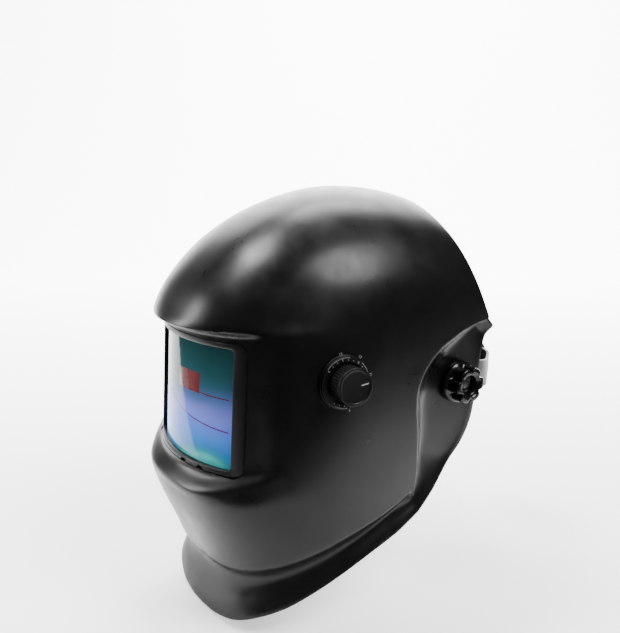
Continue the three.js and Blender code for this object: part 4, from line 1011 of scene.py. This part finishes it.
def make_dial_marks(top):
    """Shade marks: ticks over three quarters of the ring, long arcs between them, and the shade numbers."""
    points, faces = [], []

    def gather(piece):
        offset = len(points)
        points.extend(piece[0])
        faces.extend(tuple(v + offset for v in face) for face in piece[1])

    for k in range(19):
        turn = -45 + k * 15
        reach = 17.4 if k % 3 == 0 else 16.6
        gather(dial_bar(15.7, reach, turn - 0.7, turn + 0.7, top))
    for start, end in ((-40, -8), (100, 128), (160, 222)):
        gather(dial_bar(17.7, 17.95, start, end, top, 14))
    obj = make_object("dial_marks", points, faces, "helmet", "dial_plastic")
    obj.data.materials[0] = WHITE_PRINT
    for k, number in enumerate(("9", "10", "11", "12", "13")):
        place_number(number, math.radians(45 * k), top)


def place_number(number, turn, top):
    text = bpy.data.curves.new("shade_" + number, "FONT")
    text.body = number
    text.size = NUMBER_SIZE * MM
    text.extrude = 0.06 * MM
    text.align_x = "CENTER"
    text.align_y = "CENTER"
    holder = bpy.data.objects.new("shade_" + number, text)
    bpy.context.scene.collection.objects.link(holder)
    bpy.context.view_layer.update()
    mesh = bpy.data.meshes.new_from_object(holder.evaluated_get(bpy.context.evaluated_depsgraph_get()))
    bpy.data.objects.remove(holder)
    spot = Matrix.Translation(
        Vector((NUMBER_RADIUS * math.cos(turn), NUMBER_RADIUS * math.sin(turn), 0)) * MM)
    lift = Matrix.Translation(Vector((0, 0, top - 1.9)) * MM)
    place = Matrix.Translation(DIAL_POINT * MM) @ DIAL.to_3x3().to_4x4()
    mesh.transform(place @ lift @ spot @ Matrix.Rotation(turn - math.pi / 2, 4, "Z"))
    obj = finish_object(bpy.data.objects.new("shade_number_" + number, mesh), "helmet", "dial_plastic")
    obj.data.materials[0] = WHITE_PRINT


def make_shade_knob(foot):
    ribs, radius, height = 40, 13.2, 15
    face = foot + height - 0.5
    profile = rounded_profile([(8, foot), (radius, foot), (radius, foot + height),
                               (radius - 1.6, foot + height), (radius - 2.2, face), (0.01, face)], 0.6, 4)
    profile = [(8, foot + 4)] + profile
    rib_foot, rib_top = foot + 1.2, foot + height - 1.6

    def ribbed(r, h, angle):
        inside = smooth((h - rib_foot) / 0.6) * smooth((rib_top - h) / 0.8) * smooth((r - radius + 0.5) / 0.4)
        return r - 0.55 * inside * (0.5 - 0.5 * math.cos(ribs * angle)) ** 0.7

    loops = turned(split_runs(profile, 0.8, lambda across, up: abs(up)), DIAL, ribs * 6, ribbed)
    obj = make_object("shade_knob_moulding", *loops_to_mesh(loops), "shade_dial", "dial_plastic")
    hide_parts("shade_knob")
    shade(obj, 40)
    section = ((-0.45, -0.1), (0.45, -0.1), (0.45, 0.12), (-0.45, 0.12))
    pointer = [[DIAL @ Vector((x, y, face + h)) for x, h in section] for y in (4.5, 10.2)]
    mark = make_object("shade_pointer", *loops_to_mesh(pointer), "shade_dial", "dial_plastic")
    mark.data.materials[0] = WHITE_PRINT


# ------------------------------------------------------------------ pivot knobs
KNOB_FOOT_X = PIVOT_FACE_X + 2 * GAP + 1.2
KNOB_RADIUS, KNOB_HEIGHT, KNOB_LOBES = 17, 15.5, 6


def knob_profile():
    """(radius, height) pairs from the foot of the bore round the grip and back to the bore."""
    skirt = rounded_profile([(4.1, 0), (KNOB_RADIUS, 0), (KNOB_RADIUS - 0.6, 3.6), (14.6, 4.8)], 1.0, 4)
    crown = rounded_profile([(14.6, 4.8), (14.2, KNOB_HEIGHT), (10.6, KNOB_HEIGHT + 0.2),
                             (9.4, KNOB_HEIGHT - 1.2), (8.2, KNOB_HEIGHT - 1.3), (7.4, KNOB_HEIGHT - 2.2),
                             (7.4, 7.6), (6.5, 7.5), (6.4, 4.0), (4.1, 4.0)], 1.6, 5)
    return split_runs(skirt + crown[1:], 0.9)


def scalloped(r, h, angle):
    hollow = (0.5 + 0.5 * math.cos(KNOB_LOBES * angle)) ** 4
    amount = smooth((h - 3.6) / 3.0) * smooth((r - 9.6) / 3.2)
    return r - 3.4 * hollow * amount


def make_pivot_knobs():
    for label, side in SIDES:
        place = along((side, 0, 0), (side * KNOB_FOOT_X, 0, 0))
        loops = turned(knob_profile(), place, 144, scalloped)
        points, faces = loops_to_mesh(loops, closed_path=True)
        obj = make_object("pivot_knob_moulding_" + label, points, faces, "clamp_" + label, "knob_plastic")
        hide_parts("pivot_knob_" + label)
        shade(obj, 42)


# ------------------------------------------------------------------ head harness
REFINED_PIECES = (
    # node, slot, body, edge rounding in millimetres
    ("cartridge_holder", "cartridge_plastic", "helmet", 0.6),
    ("cartridge_housing", "cartridge_plastic", "helmet", 0.5),
    ("filter_glass", "filter_glass", "helmet", 0.25), ("solar_cell", "solar_cell", "helmet", 0.1),
    ("arc_sensor_left", "sensor_window", "helmet", 0.3), ("arc_sensor_right", "sensor_window", "helmet", 0.3),
    ("inner_cover_lens", "clear_lens", "helmet", 0.2), ("battery_cover", "cartridge_plastic", "helmet", 0.3),
    ("sensitivity_knob", "control_plastic", "sensitivity_control", 0.3),
    ("delay_knob", "control_plastic", "delay_control", 0.3),
    ("test_button", "control_plastic", "test_control", 0.3),
    ("potentiometer", "plated_steel", "helmet", 0.3), ("potentiometer_nut", "plated_steel", "helmet", 0.25),
    ("shade_shaft", "plated_steel", "shade_dial", 0.3),
    ("ratchet_housing", "harness_plastic", "headgear", 0.8),
    ("ratchet_pinion", "pinion_plastic", "ratchet", 0.12),
    ("rear_band_left", "harness_plastic", "rear_left", 0.35),
    ("rear_band_right", "harness_plastic", "rear_right", 0.35),
    ("front_band", "harness_plastic", "headgear", 0.5),
    ("crown_strap_left", "harness_plastic", "headgear", 0.4),
    ("crown_strap_right", "harness_plastic", "headgear", 0.4),
    ("crown_pin", "harness_plastic", "headgear", 0.4))
PAIRED_PIECES = (
    ("pivot_nut", "plated_steel", "clamp_", 0.3), ("pivot_washer", "washer_rubber", "helmet", 0.25),
    ("pivot_bush", "bush_plastic", "helmet", 0.3), ("pivot_bolt", "plated_steel", "carriage", 0.3),
    ("side_arm", "arm_plastic", "headgear", 0.5), ("strap_rivet", "plated_steel", "headgear", 0.35))


def make_refined_pieces():
    for node, slot, body, edge in REFINED_PIECES:
        refined(node, slot, body, edge)
    for stem, slot, body, edge in PAIRED_PIECES:
        for label, _ in SIDES:
            obj = refined(stem + "_" + label, slot, body + label if body.endswith("_") else body, edge)
            if stem in ("pivot_nut", "pivot_bolt"):
                obj.data.materials[0] = DARK_STEEL


def make_ratchet_knob():
    """The tightening knob behind the head: twelve soft lobes round a dished face."""
    low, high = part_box("ratchet_knob")
    shaft_foot, face = low.y / MM, high.y / MM
    grip_foot, radius, lobes = face - 12, 21, 12
    middle_z = (low.z + high.z) / 2 / MM
    profile = [(0.01, shaft_foot - grip_foot), (3, shaft_foot - grip_foot), (3, 0)]
    profile += rounded_profile([(3.2, 0), (radius, 0), (radius, 12), (15.5, 12), (14, 10.8), (0.01, 10.4)],
                               1.5, 5)

    def lobed(r, h, angle):
        return r - 1.6 * (0.5 - 0.5 * math.cos(lobes * angle)) ** 2 * smooth((r - 16) / 3)

    loops = turned(split_runs(profile, 1.2), along((0, 1, 0), (0, grip_foot, middle_z)), 144, lobed)
    obj = make_object("ratchet_knob_moulding", *loops_to_mesh(loops), "ratchet", "knob_plastic")
    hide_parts("ratchet_knob")
    shade(obj, 45)


def make_lead():
    """The lead keeps its plain round shape, with a rubber finish and smooth shading."""
    obj = refined("dial_lead", "lead_rubber", "helmet", 0.1, sharp=60)
    shade(obj, 60)


def swell(obj, pressure, cap, voxel):
    """Fills a pad like a cushion by cloth simulation, and keeps each point within cap of where it began."""
    remesh = obj.modifiers.new("even_mesh", "REMESH")
    remesh.mode = "VOXEL"
    remesh.voxel_size = voxel * MM
    apply_modifiers(obj)
    before = np.array([v.co for v in obj.data.vertices])
    cloth = obj.modifiers.new("cloth", "CLOTH")
    cloth.settings.use_pressure = True
    cloth.settings.uniform_pressure_force = pressure
    cloth.settings.effector_weights.gravity = 0
    scene = bpy.context.scene
    for number in range(1, 21):
        scene.frame_set(number)
    apply_modifiers(obj)
    scene.frame_set(1)
    after = np.array([v.co for v in obj.data.vertices])
    move = after - before
    size = np.linalg.norm(move, axis=1)[:, None]
    move *= np.minimum(1, cap * MM / np.maximum(size, 1e-9))
    obj.data.vertices.foreach_set("co", (before + move).ravel())
    divide = obj.modifiers.new("smooth", "SUBSURF")
    divide.levels = 1
    divide.render_levels = 1
    apply_modifiers(obj)
    obj.data.materials.clear()
    return obj


RING_MIDDLE_Y, RING_HALF_LENGTH, HEAD_HALF_WIDTH = -3, 95, 76
BAND_HEIGHT, PAD_THICKNESS = 27, 5


def signed_power(value, power):
    return math.copysign(abs(value) ** power, value)


def ring_place(angle, out):
    """A place inside the head ring: angle 0 is in front, 90 degrees to the wearer's left."""
    s, c = math.sin(angle), math.cos(angle)
    normal = Vector((s / HEAD_HALF_WIDTH, -c / RING_HALF_LENGTH, 0)).normalized()
    p = Vector((HEAD_HALF_WIDTH * s, RING_MIDDLE_Y - RING_HALF_LENGTH * c, 0)) + normal * out
    p.z = -0.16 * (p.y - RING_MIDDLE_Y) * smooth(abs(p.y - RING_MIDDLE_Y) / 60)
    return p, normal


def make_sweatband():
    """A padded terry band: thin and round at its long edges, held to the front band inside it."""
    loops = []
    steps, half_turn, half_height = 60, 1.13, (BAND_HEIGHT + 5) / 2
    for i in range(steps + 1):
        angle = lerp(-half_turn, half_turn, i / steps)
        taper = smooth((half_turn - abs(angle)) / 0.12) * 0.55 + 0.45
        p, normal = ring_place(angle, -PAD_THICKNESS - GAP + 0.3)
        loop = []
        for k in range(16):
            turn = 2 * math.pi * k / 16
            high = signed_power(math.sin(turn), 0.6) * half_height * taper ** 0.4
            deep = (1 + signed_power(math.cos(turn), 0.7) * taper) / 2 * (PAD_THICKNESS - 0.8)
            loop.append(p + Vector((0, 0, high)) + normal * deep)
        loops.append(loop)
    obj = make_object("sweatband_terry", *loops_to_mesh(loops), "headgear", "sweat_fabric")
    swell(obj, 1.2, 0.6, 2.4)
    obj.data.materials.append(FINISHES["sweat_fabric"])
    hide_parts("sweatband")
    shade(obj, 80)


def make_rear_pad():
    """A padded terry rectangle that bows forward at its ends, in front of the ratchet housing."""
    half_length, half_height, half_thickness = 33, 15.5, 3.1
    end_bow, back_room = 9, 4.2
    low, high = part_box("rear_pad")
    middle_z = (low.z + high.z) / 2 / MM
    back_y = high.y / MM
    loops = []
    for i in range(41):
        u = i / 40
        taper = math.sqrt(max(0.05, 1 - (2 * u - 1) ** 6))
        x, bow = lerp(-half_length, half_length, u), end_bow * (2 * u - 1) ** 2
        loop = []
        for k in range(16):
            turn = 2 * math.pi * k / 16
            tall = signed_power(math.sin(turn), 0.55) * half_height * taper
            deep = signed_power(math.cos(turn), 0.7) * half_thickness * taper
            loop.append((x, back_y - back_room - bow + deep, middle_z + tall))
        loops.append(loop)
    obj = make_object("rear_pad_terry", *loops_to_mesh(loops), "headgear", "sweat_fabric")
    swell(obj, 1.5, 0.7, 2.4)
    obj.data.materials.append(FINISHES["sweat_fabric"])
    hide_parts("rear_pad")
    shade(obj, 80)


make_shell()
make_window_frame()
make_cover_lens()
make_film_marks()
make_dial()
make_pivot_knobs()
make_refined_pieces()
make_ratchet_knob()
make_lead()
make_sweatband()
make_rear_pad()


# ------------------------------------------------------------------ floor and light
def make_stage():
    """A pale sheet of paper, level and then curved up behind, that glows more strongly further back."""
    floor_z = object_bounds()[0].z - 0.001
    mesh = bpy.data.meshes.new("floor")
    near, level, bend, rise = -0.32, 1.2, 1.2, 3.0
    profile = [(near, 0.0), (0.4, 0.0), (level, 0.0)]
    for k in range(1, 13):
        turn = k * math.pi / 24
        profile.append((level + bend * math.sin(turn), bend * (1 - math.cos(turn))))
    profile.append((level + bend, rise))
    points, faces = [], []
    view_turn = Matrix.Rotation(VIEW_AZIMUTH, 3, "Z")
    for y, z in profile:
        half = lerp(0.4, 1.8, clamp01((y - near) / 2.0))
        for x in (-half, half):
            points.append(view_turn @ Vector((x, y, 0)) + Vector((0, 0, floor_z + z)))
    for k in range(len(profile) - 1):
        faces.append((2 * k, 2 * k + 1, 2 * k + 3, 2 * k + 2))
    mesh.from_pydata(points, [], faces)
    mesh.polygons.foreach_set("use_smooth", [True] * len(faces))
    floor = bpy.data.objects.new("floor", mesh)
    bpy.context.scene.collection.objects.link(floor)
    finish, tree, surface = empty_finish("glowing_pale_paper", Roughness=1.0)
    away = view_turn @ Vector((0, 1, 0))
    depth = add_node(tree, "ShaderNodeVectorMath", {0: object_place(tree), 1: tuple(away)},
                     operation="DOT_PRODUCT")
    # painted light: the paper glows, from 0.3 near the object up to 5.0 far back along the view, so the
    # backdrop reads white
    glow = remap(tree, depth.outputs["Value"], 0.15, 1.3, 0.3, 5.0)
    tree.links.new(glow, surface.inputs["Emission Strength"])
    surface.inputs["Base Color"].default_value = (0.95, 0.95, 0.95, 1)
    surface.inputs["Emission Color"].default_value = (1, 1, 1, 1)
    mesh.materials.append(finish)


def soft_light(name, place, aim, power, width, height):
    lamp = bpy.data.lights.new(name, "AREA")
    lamp.shape = "RECTANGLE"
    lamp.size, lamp.size_y = width, height
    lamp.energy = power
    obj = bpy.data.objects.new(name, lamp)
    obj.location = place
    obj.rotation_euler = (Vector(aim) - Vector(place)).to_track_quat("-Z", "Y").to_euler()
    bpy.context.scene.collection.objects.link(obj)


def light_the_scene():
    world = bpy.data.worlds.new("studio")
    world.use_nodes = True
    world.node_tree.nodes["Background"].inputs["Color"].default_value = (1, 1, 1, 1)
    world.node_tree.nodes["Background"].inputs["Strength"].default_value = 0.13
    bpy.context.scene.world = world
    soft_light("key", (-0.9, -1.2, 0.35), (0, -0.12, -0.08), 22, 0.3, 0.9)
    soft_light("overhead", (-0.4, -0.5, 1.35), (0, 0, -0.1), 34, 0.45, 0.45)
    soft_light("backdrop_left", (-0.9, 0.9, 1.9), (-2.0, 1.4, 0.4), 160, 1.2, 1.2)
    soft_light("backdrop_right", (1.4, 0.6, 1.9), (-1.4, 2.0, 0.4), 120, 1.2, 1.2)


make_stage()
light_the_scene()
